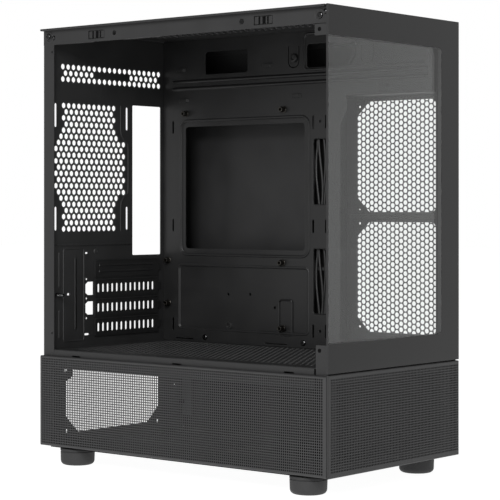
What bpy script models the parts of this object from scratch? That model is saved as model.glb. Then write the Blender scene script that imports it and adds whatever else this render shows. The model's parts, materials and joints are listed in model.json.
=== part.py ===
"""Micro-ATX computer tower: an empty steel chassis behind a glass front.

The side facing -X is open, because its glass cover is not part of the model. The
front faces -Y, the top +Z, and the tower stands on its feet at Z = 0, centred on
the world origin. Every piece is laid out in the chassis's own frame: X runs from
the open side, Y from the face of the front glass and Z from the underside of the
floor. The empty called case_corner carries that frame into the world.
"""

from math import cos, pi, radians, sin

import bmesh
import bpy
from mathutils import Matrix, Vector

# Driving dimensions, in metres.
WIDTH = 0.213
DEPTH = 0.3634
HEIGHT = 0.4219
SHEET = 0.001
GAP = 0.0003
FOOT_HEIGHT = 0.017
FOOT_RADIUS = 0.0175

# Planes that several pieces share, in the chassis's frame.
SIDE = 0.005            # the chassis's side walls lie this far inside the outer sides
RIM = 0.0021            # depth of the top sheet's folded edge
GLASS = 0.004           # thickness of the front glass
FRAME_Y = 0.0055        # front face of the front frame
REAR_Y = 0.3534         # inner face of the rear panel
TRAY_X = 0.1745         # face of the motherboard tray
SHROUD_Z = 0.0985       # top of the power supply's cover
GRILLE_TOP = 0.092      # top edge of the lower perforated panels
GLASS_BOTTOM = 0.0938   # bottom edge of the front glass
RAIL_Z = 0.4055         # bottom edge of the upper side rails
TAB_BOTTOM = 0.0865     # lower ends of the front frame's bottom tabs
UNDER_RIM = HEIGHT - RIM
UNDER_TOP = HEIGHT - SHEET
RIGHT_SIDE = WIDTH - SIDE

# Rear wall: fan, port opening, expansion slots and power supply.
FAN_X = 0.0647
FAN_Z = 0.2827
FAN_HOLES = 0.105
FAN_SEAT = (0.0085, 0.1225, 0.2140, 0.3510)
TOP_SEAT = (0.0150, 0.1650, 0.0300, 0.3400)
PRESSED = 0.0005        # how far both seats stand inward of their sheets
PORT_WINDOW = (0.1257, 0.1702, 0.1911, 0.3499)
SLOT_COUNT = 4
SLOT_PITCH = 0.02032
TOP_SLOT_Z = 0.1782
SLOT_LEFT = 0.0675
SLOT_RIGHT = 0.1640
LOCK_SCREW = (0.0135, 0.1526)
PANEL_SCREW_X = 0.202
PANEL_SCREW_Z = (0.030, 0.395)
PSU_WINDOW = ((0.026, 0.0293), (0.044, 0.0115), (0.149, 0.0115), (0.1672, 0.0276),
              (0.1672, 0.079), (0.158, 0.088), (0.036, 0.088), (0.036, 0.0685),
              (0.026, 0.0641))

# Motherboard tray: openings as (front, rear, bottom, top).
PROCESSOR_WINDOW = (0.1611, 0.3223, 0.1977, 0.3277)
TOP_WINDOWS = ((0.2353, 0.2933, 0.3825, 0.4065), (0.0960, 0.1575, 0.3830, 0.4070))
CABLE_WINDOWS = ((0.1331, 0.1489, 0.1344, 0.1995), (0.1331, 0.1489, 0.2448, 0.3106))
TIE_SLOT_Y = (0.1334, 0.1495, 0.3391)
TIE_SLOT_Z = (0.1166, 0.2225, 0.3278)
TIE_SLOT = (0.0018, 0.0136)
STANDOFFS = ((0.3454, 0.1848), (0.3454, 0.1385), (0.1885, 0.1848),
             (0.1885, 0.1178), (0.1872, 0.3418), (0.3200, 0.3418))
STANDOFF_HEIGHT = 0.0065

# Side fans.
FAN_POCKET = (0.0090, 0.1295, 0.1030, 0.3538)
POCKET_X = 0.2040
FAN_WINDOW = (0.0212, 0.1163)
FAN_WINDOW_Z = ((0.1166, 0.2269), (0.2370, 0.3480))
FAN_WINDOW_CHAMFER = 0.0148

# Controls on the top.
IO_X = 0.1935
IO_HALF_WIDTH = 0.0095
IO_FRONT = 0.028
IO_REAR = 0.132
IO_BOTTOM = 0.405
POWER_Y = 0.0395
POWER_RADIUS = 0.0055
RESET_Y = 0.0545
RESET_RADIUS = 0.0022
AUDIO_Y = 0.0665
AUDIO_RADIUS = 0.0035
USB_Y = (0.0850, 0.1080)
USB_SIZE = (0.0060, 0.0136)

# Side rail sockets that the missing glass cover would snap into.
CATCH_Y = (0.0753, 0.2864)
CATCH_Z = 0.4123
CATCH_SLOT = (0.0220, 0.0104)
LOWER_SLOT_Y = (0.0477, 0.1831, 0.3172)

# Fastenings: places of the screws in the top rail, as (Y, Z), of those at the foot of
# the tray, and of the studs behind the front glass, as (X, Z).
RAIL_SCREWS = ((0.0120, 0.4124), (0.3563, 0.4141))
TRAY_SCREWS = ((0.1618, 0.1040), (0.2934, 0.1040))
STUDS = ((0.0135, 0.4125), (0.1985, 0.4125), (0.0135, 0.0998), (0.1985, 0.0998))

# Slanting vents in the power supply's cover.
VENT_COUNT = 13
VENT_PITCH = 0.0215
VENT_SLANT = 40.0
VENT_LENGTH = 0.090
VENT_WIDTH = 0.005


def clear_scene():
    """Remove whatever the file holds, so the model starts from nothing."""
    for item in list(bpy.data.objects):
        bpy.data.objects.remove(item, do_unlink=True)


def finish(name, colour, roughness, metallic=0.0, alpha=1.0):
    """One Principled material."""
    surface = bpy.data.materials.new(name)
    surface.use_nodes = True
    shader = surface.node_tree.nodes["Principled BSDF"]
    shader.inputs["Base Color"].default_value = (*colour, 1.0)
    shader.inputs["Roughness"].default_value = roughness
    shader.inputs["Metallic"].default_value = metallic
    shader.inputs["Alpha"].default_value = alpha
    return surface


# ---------------------------------------------------------------- shapes

def box(low, high):
    """Corners and faces of a box between two opposite corners."""
    (x0, y0, z0), (x1, y1, z1) = low, high
    corners = [(x, y, z) for z in (z0, z1) for y in (y0, y1) for x in (x0, x1)]
    faces = [(0, 2, 3, 1), (4, 5, 7, 6), (0, 1, 5, 4), (2, 6, 7, 3), (0, 4, 6, 2), (1, 3, 7, 5)]
    return corners, faces


def prism(axis, outline, start, end):
    """An outline pulled along an axis; its pairs are the other two axes in X, Y, Z order."""
    def at(pair, along):
        point = list(pair)
        point.insert("xyz".index(axis), along)
        return tuple(point)

    count = len(outline)
    corners = [at(pair, start) for pair in outline] + [at(pair, end) for pair in outline]
    sides = [(i, (i + 1) % count, count + (i + 1) % count, count + i) for i in range(count)]
    return corners, [tuple(reversed(range(count))), tuple(range(count, 2 * count)), *sides]


def circle(centre, radius, sides):
    """Points around a circle in a plane."""
    turn = 2 * pi / sides
    return [(centre[0] + radius * cos((i + 0.5) * turn), centre[1] + radius * sin((i + 0.5) * turn))
            for i in range(sides)]


def rounded(left, right, bottom, top, radius, steps=3):
    """A rectangle with round corners."""
    corners = ((right, top, 0), (left, top, 1), (left, bottom, 2), (right, bottom, 3))
    outline = []
    for across, up, quarter in corners:
        middle = (across - radius if across == right else across + radius,
                  up - radius if up == top else up + radius)
        for step in range(steps + 1):
            angle = (quarter + step / steps) * pi / 2
            outline.append((middle[0] + radius * cos(angle), middle[1] + radius * sin(angle)))
    return outline


def rod(axis, centre, radius, start, end, sides=16):
    """A round bar along an axis."""
    return prism(axis, circle(centre, radius, sides), start, end)


def mesh_of(name, shapes, origin):
    """One mesh holding some shapes, measured from a point."""
    mesh = bpy.data.meshes.new(name)
    solid = bmesh.new()
    for corners, faces in shapes:
        points = [solid.verts.new(Vector(corner) - Vector(origin)) for corner in corners]
        for face in faces:
            solid.faces.new([points[i] for i in face])
    bmesh.ops.recalc_face_normals(solid, faces=solid.faces)
    solid.to_mesh(mesh)
    solid.free()
    return mesh


def middle_of(shape):
    """Centre of a shape's bounding box."""
    corners = shape[0]
    spans = [(min(c[axis] for c in corners), max(c[axis] for c in corners)) for axis in range(3)]
    return Vector([sum(span) / 2 for span in spans])


def link(name, data, location, parent):
    """Put an object into the scene under a parent."""
    item = bpy.data.objects.new(name, data)
    bpy.context.scene.collection.objects.link(item)
    item.parent = parent
    item.location = location
    return item


def combine(piece, operation, shapes, parent):
    """Join shapes to a piece, or cut them out of it, with a Boolean modifier."""
    helper_name = "{}_{}_{}".format(piece.name, operation.lower(), len(piece.modifiers))
    helper = link(helper_name, mesh_of(helper_name, shapes, piece.location), piece.location, parent)
    helper.hide_render = True
    helper.display_type = "WIRE"
    boolean = piece.modifiers.new(helper_name, "BOOLEAN")
    boolean.operation = operation
    boolean.solver = "EXACT"
    boolean.object = helper


def piece(name, surface, base, joined=(), cut=(), origin=None, smooth=False):
    """A node: a base shape, with shapes joined on one by one and others cut away."""
    case = bpy.data.objects["case_corner"]
    place = Vector(origin) if origin else middle_of(base)
    mesh = mesh_of(name, [base], place)
    mesh.materials.append(surface)
    item = link(name, mesh, place, case)
    for shape in joined:
        combine(item, "UNION", [shape], case)
    if cut:
        combine(item, "DIFFERENCE", list(cut), case)
    if smooth:
        mesh.shade_smooth()
        mesh.set_sharp_from_angle(angle=radians(35))
    return item


# ---------------------------------------------------------------- chassis sheets

def bottom_pan(steel):
    """Floor of the chassis, with upturned sides, an air intake and a filter's two rails."""
    left, right = SIDE, RIGHT_SIDE
    wall = 0.014
    profile = [(left, 0), (right, 0), (right, wall), (right - SHEET, wall), (right - SHEET, SHEET),
               (left + SHEET, SHEET), (left + SHEET, wall), (left, wall)]
    front, rear = FRAME_Y + SHEET + GAP, REAR_Y - GAP
    rails = []
    for inner, outer in ((0.041, 0.040), (0.170, 0.171)):
        lip = inner + 3 * (inner - outer)
        hook = [(outer, SHEET / 2), (inner, SHEET / 2), (inner, -0.004), (lip, -0.004),
                (lip, -0.005), (outer, -0.005)]
        rails.append(prism("y", hook, 0.150, 0.345))
    intake = [box((0.050 + i * 0.011, 0.190, -0.001), (0.056 + i * 0.011, 0.335, 0.002))
              for i in range(11)]
    piece("bottom_pan", steel, prism("y", profile, front, rear), rails, intake)


def slot_height(number):
    """Height of the middle of an expansion slot, counted from the top."""
    return TOP_SLOT_Z - number * SLOT_PITCH


def rear_panel(steel):
    """Rear sheet with its two corner posts, a pressed fan seat and all its openings."""
    inner, outer = REAR_Y, REAR_Y + SHEET
    low, high = 0.0143, RAIL_Z - GAP
    left, right = SIDE, RIGHT_SIDE
    sheet = box((left + SHEET + GAP, inner, 0), (right - SHEET - GAP, outer, UNDER_RIM - GAP))
    posts = [box((left, inner, low), (left + 0.003, outer, high)),
             box((left, 0.3488, low), (left + SHEET, 0.362, high)),
             box((right - 0.003, inner, low), (right, outer, high)),
             box((right - SHEET, 0.3488, low), (right, outer, high))]
    seat = box((FAN_SEAT[0], inner - PRESSED, FAN_SEAT[2]), (FAN_SEAT[1], inner + PRESSED, FAN_SEAT[3]))
    deep = (inner - 0.002, outer + 0.002)
    cuts = [box((PORT_WINDOW[0], deep[0], PORT_WINDOW[2]), (PORT_WINDOW[1], deep[1], PORT_WINDOW[3])),
            prism("y", PSU_WINDOW, *deep),
            rod("y", LOCK_SCREW, 0.0022, *deep, sides=12),
            box((0.0285, deep[0], 0.1516), (0.0333, deep[1], 0.1540))]
    for x in (FAN_X - FAN_HOLES / 2, FAN_X + FAN_HOLES / 2):
        for z in (FAN_Z - FAN_HOLES / 2, FAN_Z + FAN_HOLES / 2):
            cuts.append(box((x - 0.0016, deep[0], z - 0.0122), (x + 0.0016, deep[1], z + 0.0122)))
    for number in range(SLOT_COUNT):
        z = slot_height(number)
        cuts.append(box((SLOT_LEFT + 0.003, deep[0], z - 0.0064), (SLOT_RIGHT - 0.003, deep[1], z + 0.0064)))
    for number in (1, 2):
        z = slot_height(number)
        notch = [(0.0665, z - 0.0068), (0.0665, z + 0.0068), (0.0585, z + 0.0068), (0.0550, z + 0.0045),
                 (0.0550, z - 0.0045), (0.0585, z - 0.0068)]
        cuts.append(prism("y", notch, *deep))
    for z in PANEL_SCREW_Z:
        cuts.append(rod("y", (PANEL_SCREW_X, z), 0.0021, *deep, sides=12))
    piece("rear_panel", steel, sheet, [*posts, seat], cuts)


def top_panel(steel):
    """Top sheet: joggled edges, a hanging rail down each long side, a rear lip, a fan seat."""
    left, right = SIDE, RIGHT_SIDE
    profile = [(0, UNDER_RIM), (0, HEIGHT), (WIDTH, HEIGHT), (WIDTH, UNDER_RIM), (right, UNDER_RIM),
               (right, RAIL_Z), (right - SHEET, RAIL_Z), (right - SHEET, UNDER_TOP),
               (left + SHEET, UNDER_TOP), (left + SHEET, RAIL_Z), (left, RAIL_Z), (left, UNDER_RIM)]
    lip = box((left + 0.002, DEPTH - SHEET, 0.4105), (right - 0.002, DEPTH, HEIGHT - 0.0005))
    seat = box((TOP_SEAT[0], TOP_SEAT[2], UNDER_TOP - PRESSED), (TOP_SEAT[1], TOP_SEAT[3], UNDER_TOP + PRESSED))
    through = (UNDER_TOP - 0.001, HEIGHT + 0.001)
    cuts = [rod("z", (IO_X, POWER_Y), POWER_RADIUS + GAP, *through, sides=20),
            rod("z", (IO_X, RESET_Y), RESET_RADIUS + GAP, *through, sides=12),
            rod("z", (IO_X, AUDIO_Y), AUDIO_RADIUS + GAP, *through, sides=16)]
    half_x, half_y = USB_SIZE[0] / 2 + GAP, USB_SIZE[1] / 2 + GAP
    for y in USB_Y:
        cuts.append(box((IO_X - half_x, y - half_y, through[0]), (IO_X + half_x, y + half_y, through[1])))
    wall = (left - 0.001, left + 0.002)
    for y in CATCH_Y:
        half_long, half_high = CATCH_SLOT[0] / 2, CATCH_SLOT[1] / 2
        cuts.append(box((wall[0], y - half_long, CATCH_Z - half_high),
                        (wall[1], y + half_long, CATCH_Z + half_high)))
    for y, z in RAIL_SCREWS:
        cuts.append(rod("x", (y, z), 0.0015, *wall, sides=10))
    piece("top_panel", steel, prism("y", profile, GLASS + GAP, DEPTH), [lip, seat], cuts)


def front_frame(steel):
    """Upright sheet behind the glass and the front grille, with two tabs at the open corner."""
    front, back = FRAME_Y, FRAME_Y + SHEET
    left, right = SIDE + SHEET + GAP, RIGHT_SIDE - SHEET - GAP
    top = 0.4188
    sheet = box((left, front, 0.0013), (right, back, top))
    tabs = []
    for low, high, reach in ((TAB_BOTTOM, 0.1188, 0.0170), (0.3949, RAIL_Z - GAP, 0.0184)):
        tabs.append(box((SIDE, front, low), (SIDE + 0.003, back, high)))
        tabs.append(box((SIDE, front, low), (SIDE + SHEET, reach, high)))
    tabs.append(box((right - SHEET, front, 0.0145), (right, 0.0170, top)))
    deep = (front - 0.001, back + 0.001)
    cuts = [box((0, deep[0], 0.1195), (0.1815, deep[1], 0.3945)),
            box((0.020, deep[0], 0.012), (0.193, deep[1], 0.083))]
    for x, z in STUDS:
        cuts.append(rod("y", (x, z), 0.0027, *deep, sides=12))
    piece("front_frame", steel, sheet, tabs, cuts)


def motherboard_tray(steel):
    """Upright plate that carries the board, with its cable openings and pressed beads."""
    front, rear = FRAME_Y + SHEET + GAP, REAR_Y - GAP
    low, high = SHROUD_Z + GAP, UNDER_TOP - GAP
    outline = [(front, high), (rear, high), (rear, low), (0.1158, low), (0.1158, 0.3243),
               (0.1077, 0.3388), (0.1077, 0.3540), (front, 0.3540)]
    bead = box((TRAY_X - 0.0012, 0.012, 0.3690), (TRAY_X + SHEET / 2, 0.340, 0.3770))
    rim = 0.0055
    y0, y1, z0, z1 = PROCESSOR_WINDOW
    ridge = prism("x", rounded(y0 - rim, y1 + rim, z0 - rim, z1 + rim, 0.008),
                  TRAY_X - 0.0015, TRAY_X + SHEET / 2)
    deep = (TRAY_X - 0.004, TRAY_X + SHEET + 0.002)
    cuts = [prism("x", rounded(y0, y1, z0, z1, 0.004), *deep)]
    for y0, y1, z0, z1 in TOP_WINDOWS:
        cuts.append(prism("x", rounded(y0, y1, z0, z1, 0.003, 2), *deep))
    for y0, y1, z0, z1 in CABLE_WINDOWS:
        cuts.append(prism("x", rounded(y0, y1, z0, z1, 0.002, 2), *deep))
    wide, tall = TIE_SLOT
    for y in TIE_SLOT_Y:
        for z in TIE_SLOT_Z:
            cuts.append(box((deep[0], y - wide / 2, z - tall / 2), (deep[1], y + wide / 2, z + tall / 2)))
    cuts += [rod("x", centre, 0.0015, *deep, sides=10) for centre in TRAY_SCREWS]
    piece("motherboard_tray", steel, prism("x", outline, TRAY_X, TRAY_X + SHEET), [bead, ridge], cuts)


def psu_shroud(steel):
    """Cover over the power supply bay: a vented shelf with one edge folded down."""
    left, right = SIDE, RIGHT_SIDE - SHEET - GAP
    under = SHROUD_Z - SHEET
    fold = 0.080
    profile = [(left, fold), (left + SHEET, fold), (left + SHEET, under), (right, under),
               (right, SHROUD_Z), (left, SHROUD_Z)]
    cuts = [box((0.1785, 0.200, under - 0.001), (0.2000, 0.330, SHROUD_Z + 0.001))]
    for y in LOWER_SLOT_Y:
        cuts.append(box((left - 0.001, y - 0.0058, 0.0900), (left + 0.002, y + 0.0058, 0.0935)))
    cuts += [slanting_vent(0.090, 0.052 + number * VENT_PITCH) for number in range(VENT_COUNT)]
    piece("psu_shroud", steel, prism("y", profile, 0.0173, 0.3485), (), cuts)


def slanting_vent(x, y):
    """Cutter for one vent in the shelf, running rearwards as it nears the tray."""
    turn = Matrix.Rotation(radians(VENT_SLANT), 2)
    reach, half = VENT_LENGTH / 2, VENT_WIDTH / 2
    outline = []
    for along, across in ((reach, half), (-reach, half), (-reach, -half), (reach, -half)):
        corner = turn @ Vector((along, across))
        outline.append((x + corner.x, y + corner.y))
    return prism("z", outline, SHROUD_Z - SHEET - 0.001, SHROUD_Z + 0.001)


def fan_window(low, high):
    """Outline of a side fan's opening: its two rear corners are cut off."""
    front, rear = FAN_WINDOW
    chamfer, small = FAN_WINDOW_CHAMFER, 0.003
    return [(front + small, low), (rear - chamfer, low), (rear, low + chamfer), (rear, high - chamfer),
            (rear - chamfer, high), (front + small, high), (front, high - small), (front, low + small)]


def side_fan_bracket(steel):
    """Deep pocket beside the tray that two fans screw into."""
    front, rear, low, high = FAN_POCKET
    mouth = TRAY_X + SHEET + GAP
    shell = box((mouth, front, low), (POCKET_X + SHEET, rear, high))
    cuts = [box((mouth - 0.001, front + SHEET, low + SHEET), (POCKET_X, rear - SHEET, high - SHEET))]
    windows = [prism("x", fan_window(*span), POCKET_X - 0.001, POCKET_X + SHEET + 0.001)
               for span in FAN_WINDOW_Z]
    bracket = piece("side_fan_bracket", steel, shell, (), cuts)
    combine(bracket, "DIFFERENCE", windows, bracket.parent)


def ssd_bracket(steel):
    """Shallow tray for a small drive, fixed behind the motherboard tray."""
    low, high = (0.1800, 0.1980, 0.1120), (0.1895, 0.3000, 0.1860)
    hollow = box((low[0] + SHEET, low[1] + SHEET, low[2] - 0.001),
                 (high[0] + 0.001, high[1] - SHEET, high[2] - SHEET))
    window = box((low[0] - 0.001, low[1] + 0.030, low[2] + 0.018),
                 (low[0] + 0.002, high[1] - 0.030, high[2] - 0.018))
    bracket = piece("ssd_bracket", steel, box(low, high), (), [hollow])
    combine(bracket, "DIFFERENCE", [window], bracket.parent)


def slot_parts(steel, bright):
    """Expansion slot covers, the plate that locks cards in, and its thumbscrew."""
    front = REAR_Y - GAP - 0.0012
    for number in range(SLOT_COUNT):
        z = slot_height(number)
        cover = box((SLOT_LEFT, front, z - 0.0091), (SLOT_RIGHT, front + 0.0012, z + 0.0091))
        foot = box((SLOT_RIGHT - 0.001, front, z - 0.004), (SLOT_RIGHT + 0.004, front + 0.0012, z + 0.004))
        piece("slot_cover_{}".format(number + 1), steel, cover, [foot])
    outside = REAR_Y + SHEET + GAP
    plate = box((0.0080, outside, 0.1050), (0.0530, outside + SHEET, 0.1970))
    rib = box((0.0390, outside, 0.1150), (0.0412, outside + 0.0028, 0.1880))
    holes = [rod("y", LOCK_SCREW, 0.0022, outside - 0.001, outside + 0.002, sides=12),
             box((0.0285, outside - 0.001, 0.1516), (0.0333, outside + 0.002, 0.1540))]
    piece("slot_lock_plate", steel, plate, [rib], holes)
    thumbscrew("slot_lock_screw", bright, LOCK_SCREW, outside + SHEET + GAP, 0.0130)


def thumbscrew(name, surface, centre, seat, reach):
    """Screw along Y with a grooved head behind its seat and a plain shank in front of it."""
    turn = 2 * pi / 24
    head = [(centre[0] + radius * cos(i * turn), centre[1] + radius * sin(i * turn))
            for i, radius in enumerate([0.0046, 0.0042] * 12)]
    shank = rod("y", centre, 0.0017, seat - reach, seat + 0.001, sides=12)
    slot = box((centre[0] - 0.0032, seat + 0.0039, centre[1] - 0.0006),
               (centre[0] + 0.0032, seat + 0.0060, centre[1] + 0.0006))
    piece(name, surface, prism("y", head, seat, seat + 0.005), [shank], [slot],
          origin=(centre[0], seat, centre[1]), smooth=True)


# ---------------------------------------------------------------- covers

def right_side_panel(steel):
    """Sliding cover of the cable side, with folded edges and a rear fold for two screws."""
    front, back = GLASS + GAP, 0.3627
    low, high = 0.0018, UNDER_RIM - GAP
    plate = box((WIDTH - SHEET, front, low), (WIDTH, back, high))
    inner = RIGHT_SIDE + 0.0005
    folds = [box((inner, 0.0058, high - SHEET), (WIDTH - SHEET / 2, back, high)),
             box((inner, 0.0058, low), (WIDTH - SHEET / 2, back, low + SHEET)),
             box((0.1965, REAR_Y + SHEET + GAP, 0.006),
                 (WIDTH - SHEET / 2, REAR_Y + 2 * SHEET + GAP, RAIL_Z - GAP))]
    holes = [rod("y", (PANEL_SCREW_X, z), 0.0021, REAR_Y, REAR_Y + 0.004, sides=12) for z in PANEL_SCREW_Z]
    piece("right_side_panel", steel, plate, folds, holes)


def right_panel_screws(bright):
    """Captive thumbscrews of the sliding cover."""
    seat = REAR_Y + 2 * (SHEET + GAP)
    for name, z in zip(("lower", "upper"), PANEL_SCREW_Z):
        thumbscrew("right_panel_screw_" + name, bright, (PANEL_SCREW_X, z), seat, 0.0090)


def front_glass(glass):
    """Clear front pane."""
    piece("front_glass", glass, box((0.0004, 0, GLASS_BOTTOM), (WIDTH - 0.0004, GLASS, HEIGHT)))


def front_glass_carrier(steel):
    """Thin frame glued to the back of the pane, with four studs that snap into the chassis."""
    front, back = GLASS + GAP, FRAME_Y - GAP
    sheet = box((0.0070, front, 0.0965), (0.2060, back, 0.4180))
    studs = [rod("y", centre, 0.0021, front + 0.0003, 0.0115, sides=12) for centre in STUDS]
    opening = box((0.0060, front - 0.001, 0.1175), (0.1850, back + 0.001, 0.3975))
    piece("front_glass_carrier", steel, sheet, studs, [opening])


def front_lower_grille(steel):
    """Perforated panel below the glass, with a stiffening rim behind it."""
    plate = box((0.0003, 0, 0.0010), (WIDTH - 0.0003, SHEET, GRILLE_TOP + 0.0008))
    inset = 0.0048
    rim = box((inset, SHEET / 2, 0.0022), (WIDTH - inset, 0.0050, GRILLE_TOP - 0.0004))
    hollow = box((inset + SHEET, SHEET, 0.0032), (WIDTH - inset - SHEET, 0.0060, GRILLE_TOP - 0.0014))
    piece("front_lower_grille", steel, plate, [rim], [hollow])


def left_lower_grille(steel):
    """Perforated panel along the power supply bay, with its long edges folded in."""
    front, back = 0.0018, DEPTH - GAP
    low, high = 0.0015, GRILLE_TOP
    plate = box((0, front, low), (SHEET, back, high))
    inner = SIDE - 0.0005
    folds = [box((SHEET / 2, 0.0058, high - SHEET), (inner, back, high)),
             box((SHEET / 2, 0.0058, low), (inner, back, low + SHEET))]
    piece("left_lower_grille", steel, plate, folds)


def dust_filters(plastic):
    """Magnetic mesh sheet on the top, and a sliding mesh tray under the floor."""
    top = HEIGHT + GAP
    sheet = prism("z", rounded(0.012, 0.178, 0.030, 0.346, 0.006), top, top + 0.0012)
    piece("top_dust_filter", plastic, sheet)
    mesh = box((0.0413, 0.1500, -0.0037), (0.1697, 0.3540, -0.0015))
    pull = box((0.0900, 0.3530, -0.0090), (0.1210, 0.3560, -0.0015))
    piece("bottom_dust_filter", plastic, mesh, [pull])


def feet(rubber):
    """Four round feet under the corners of the floor, with rounded lower edges."""
    edge = 0.0022
    for end, y in (("front", 0.0367), ("rear", 0.3298)):
        for side, x in (("left", 0.0199), ("right", WIDTH - 0.0199)):
            base = rod("z", (x, y), FOOT_RADIUS, -FOOT_HEIGHT, -GAP, sides=28)
            foot = piece("foot_{}_{}".format(end, side), rubber, base,
                         origin=(x, y, -FOOT_HEIGHT), smooth=True)
            foot.data.attributes.new("bevel_weight_edge", "FLOAT", "EDGE")
            weights = foot.data.attributes["bevel_weight_edge"].data
            for index, line in enumerate(foot.data.edges):
                ends = [foot.data.vertices[i].co.z for i in line.vertices]
                weights[index].value = 1.0 if max(ends) < 1e-6 else 0.0
            bevel = foot.modifiers.new("rounded edge", "BEVEL")
            bevel.limit_method = "WEIGHT"
            bevel.width = edge
            bevel.segments = 3


# ---------------------------------------------------------------- small parts

def standoffs(brass):
    """Hexagonal posts that the board screws onto, each with a threaded hole."""
    foot = TRAY_X - GAP
    head = foot - STANDOFF_HEIGHT
    for number, centre in enumerate(STANDOFFS):
        post = rod("x", centre, 0.0029, head, foot, sides=6)
        bore = rod("x", centre, 0.0014, head - 0.001, foot - 0.0015, sides=10)
        piece("standoff_{}".format(number + 1), brass, post, (), [bore])


def pan_screw(name, surface, face, centre, reach):
    """Screw along X whose low head sits on a wall that faces the open side."""
    head = rod("x", centre, 0.0029, face - GAP - 0.0016, face - GAP, sides=16)
    shank = rod("x", centre, 0.0012, face - GAP - 0.0005, face + reach, sides=8)
    piece(name, surface, head, [shank], origin=(face, *centre), smooth=True)


def chassis_screws(bright):
    """Screws that hold the top rail and the foot of the tray to their neighbours."""
    for name, rail, tray in zip(("front", "rear"), RAIL_SCREWS, TRAY_SCREWS):
        pan_screw("rail_screw_" + name, bright, SIDE, rail, 0.0040)
        pan_screw("tray_screw_" + name, bright, TRAY_X, tray, 0.0040)


def panel_catches(plastic):
    """Snap sockets behind the upper rail that would grip the glass cover's studs."""
    back = SIDE + SHEET + GAP
    for name, y in zip(("front", "rear"), CATCH_Y):
        body = box((back, y - 0.0130, CATCH_Z - 0.0062), (back + 0.0060, y + 0.0130, CATCH_Z + 0.0062))
        socket = box((back - 0.001, y - 0.0022, CATCH_Z - 0.0046),
                     (back + 0.0045, y + 0.0022, CATCH_Z + 0.0046))
        piece("panel_catch_" + name, plastic, body, (), [socket])


def top_controls(plastic, board, bright, button):
    """Housing under the top with its board, two buttons, two ports and an audio jack."""
    low, high = IO_X - IO_HALF_WIDTH, IO_X + IO_HALF_WIDTH
    top = UNDER_TOP - GAP
    wall = 0.0015
    shell = box((low, IO_FRONT, IO_BOTTOM), (high, IO_REAR, top))
    hollow = box((low + wall, IO_FRONT + wall, IO_BOTTOM - 0.001), (high - wall, IO_REAR - wall, top - wall))
    through = (top - wall - 0.001, top + 0.001)
    holes = [rod("z", (IO_X, POWER_Y), POWER_RADIUS + GAP, *through, sides=20),
             rod("z", (IO_X, RESET_Y), RESET_RADIUS + GAP, *through, sides=12),
             rod("z", (IO_X, AUDIO_Y), AUDIO_RADIUS + GAP, *through, sides=16)]
    half_x, half_y = USB_SIZE[0] / 2, USB_SIZE[1] / 2
    for y in USB_Y:
        holes.append(box((IO_X - half_x - GAP, y - half_y - GAP, through[0]),
                         (IO_X + half_x + GAP, y + half_y + GAP, through[1])))
    housing = piece("io_housing", plastic, shell, (), [hollow])
    combine(housing, "DIFFERENCE", holes, housing.parent)
    inset = wall + GAP
    board_top = IO_BOTTOM + 0.0018
    piece("io_board", board, box((low + inset, IO_FRONT + inset, IO_BOTTOM + 0.0002),
                                 (high - inset, IO_REAR - inset, board_top)))
    for name, y, radius, proud in (("power_button", POWER_Y, POWER_RADIUS, 0.0010),
                                   ("reset_button", RESET_Y, RESET_RADIUS, 0.0005)):
        stem = rod("z", (IO_X, y), radius, board_top + 0.0035, HEIGHT + proud, sides=20)
        flange = rod("z", (IO_X, y), radius + 0.0012, board_top + 0.0030, board_top + 0.0050, sides=20)
        piece(name, button, stem, [flange], origin=(IO_X, y, HEIGHT), smooth=True)
    seat = board_top + GAP
    for name, y in zip(("front", "rear"), USB_Y):
        shell = box((IO_X - half_x, y - half_y, seat), (IO_X + half_x, y + half_y, HEIGHT - 0.0002))
        mouth = box((IO_X - half_x + 0.0006, y - half_y + 0.0006, HEIGHT - 0.0095),
                    (IO_X + half_x - 0.0006, y + half_y - 0.0006, HEIGHT + 0.001))
        tongue = box((IO_X - 0.0009, y - half_y + 0.0012, HEIGHT - 0.0100),
                     (IO_X + 0.0009, y + half_y - 0.0012, HEIGHT - 0.0014))
        port = piece("usb_port_" + name, bright, shell, (), [mouth])
        combine(port, "UNION", [tongue], port.parent)
    piece("audio_jack", plastic, rod("z", (IO_X, AUDIO_Y), AUDIO_RADIUS, seat, HEIGHT - 0.0002, sides=16), (),
          [rod("z", (IO_X, AUDIO_Y), 0.0019, HEIGHT - 0.0100, HEIGHT + 0.001, sides=12)])


# Leads from the top controls, clipped behind the tray: name, radius and route.
LEADS = (
    ("front_usb_cable", 0.0025, (
        (0.1940, 0.1120, 0.4048), (0.1940, 0.1120, 0.3980), (0.1930, 0.1210, 0.3830), (0.1880, 0.1340, 0.3600),
        (0.1840, 0.1375, 0.3250), (0.1830, 0.1375, 0.2850), (0.1830, 0.1420, 0.2450), (0.1830, 0.1400, 0.2000),
        (0.1830, 0.1380, 0.1600), (0.1830, 0.1400, 0.1303))),
    ("front_audio_cable", 0.0018, (
        (0.1965, 0.0900, 0.4048), (0.1965, 0.0900, 0.3980), (0.1975, 0.1040, 0.3840), (0.1950, 0.1350, 0.3620),
        (0.1890, 0.1450, 0.3280), (0.1885, 0.1440, 0.2850), (0.1885, 0.1380, 0.2450), (0.1885, 0.1430, 0.2000),
        (0.1885, 0.1450, 0.1600), (0.1885, 0.1440, 0.1303))),
    ("switch_leads", 0.0015, (
        (0.1900, 0.0450, 0.4048), (0.1900, 0.0450, 0.3980), (0.1920, 0.0620, 0.3860), (0.1985, 0.1230, 0.3660),
        (0.1950, 0.1370, 0.3300), (0.1930, 0.1400, 0.2850), (0.1930, 0.1450, 0.2450), (0.1930, 0.1400, 0.2000),
        (0.1930, 0.1370, 0.1600), (0.1930, 0.1370, 0.1303))),
)


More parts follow.
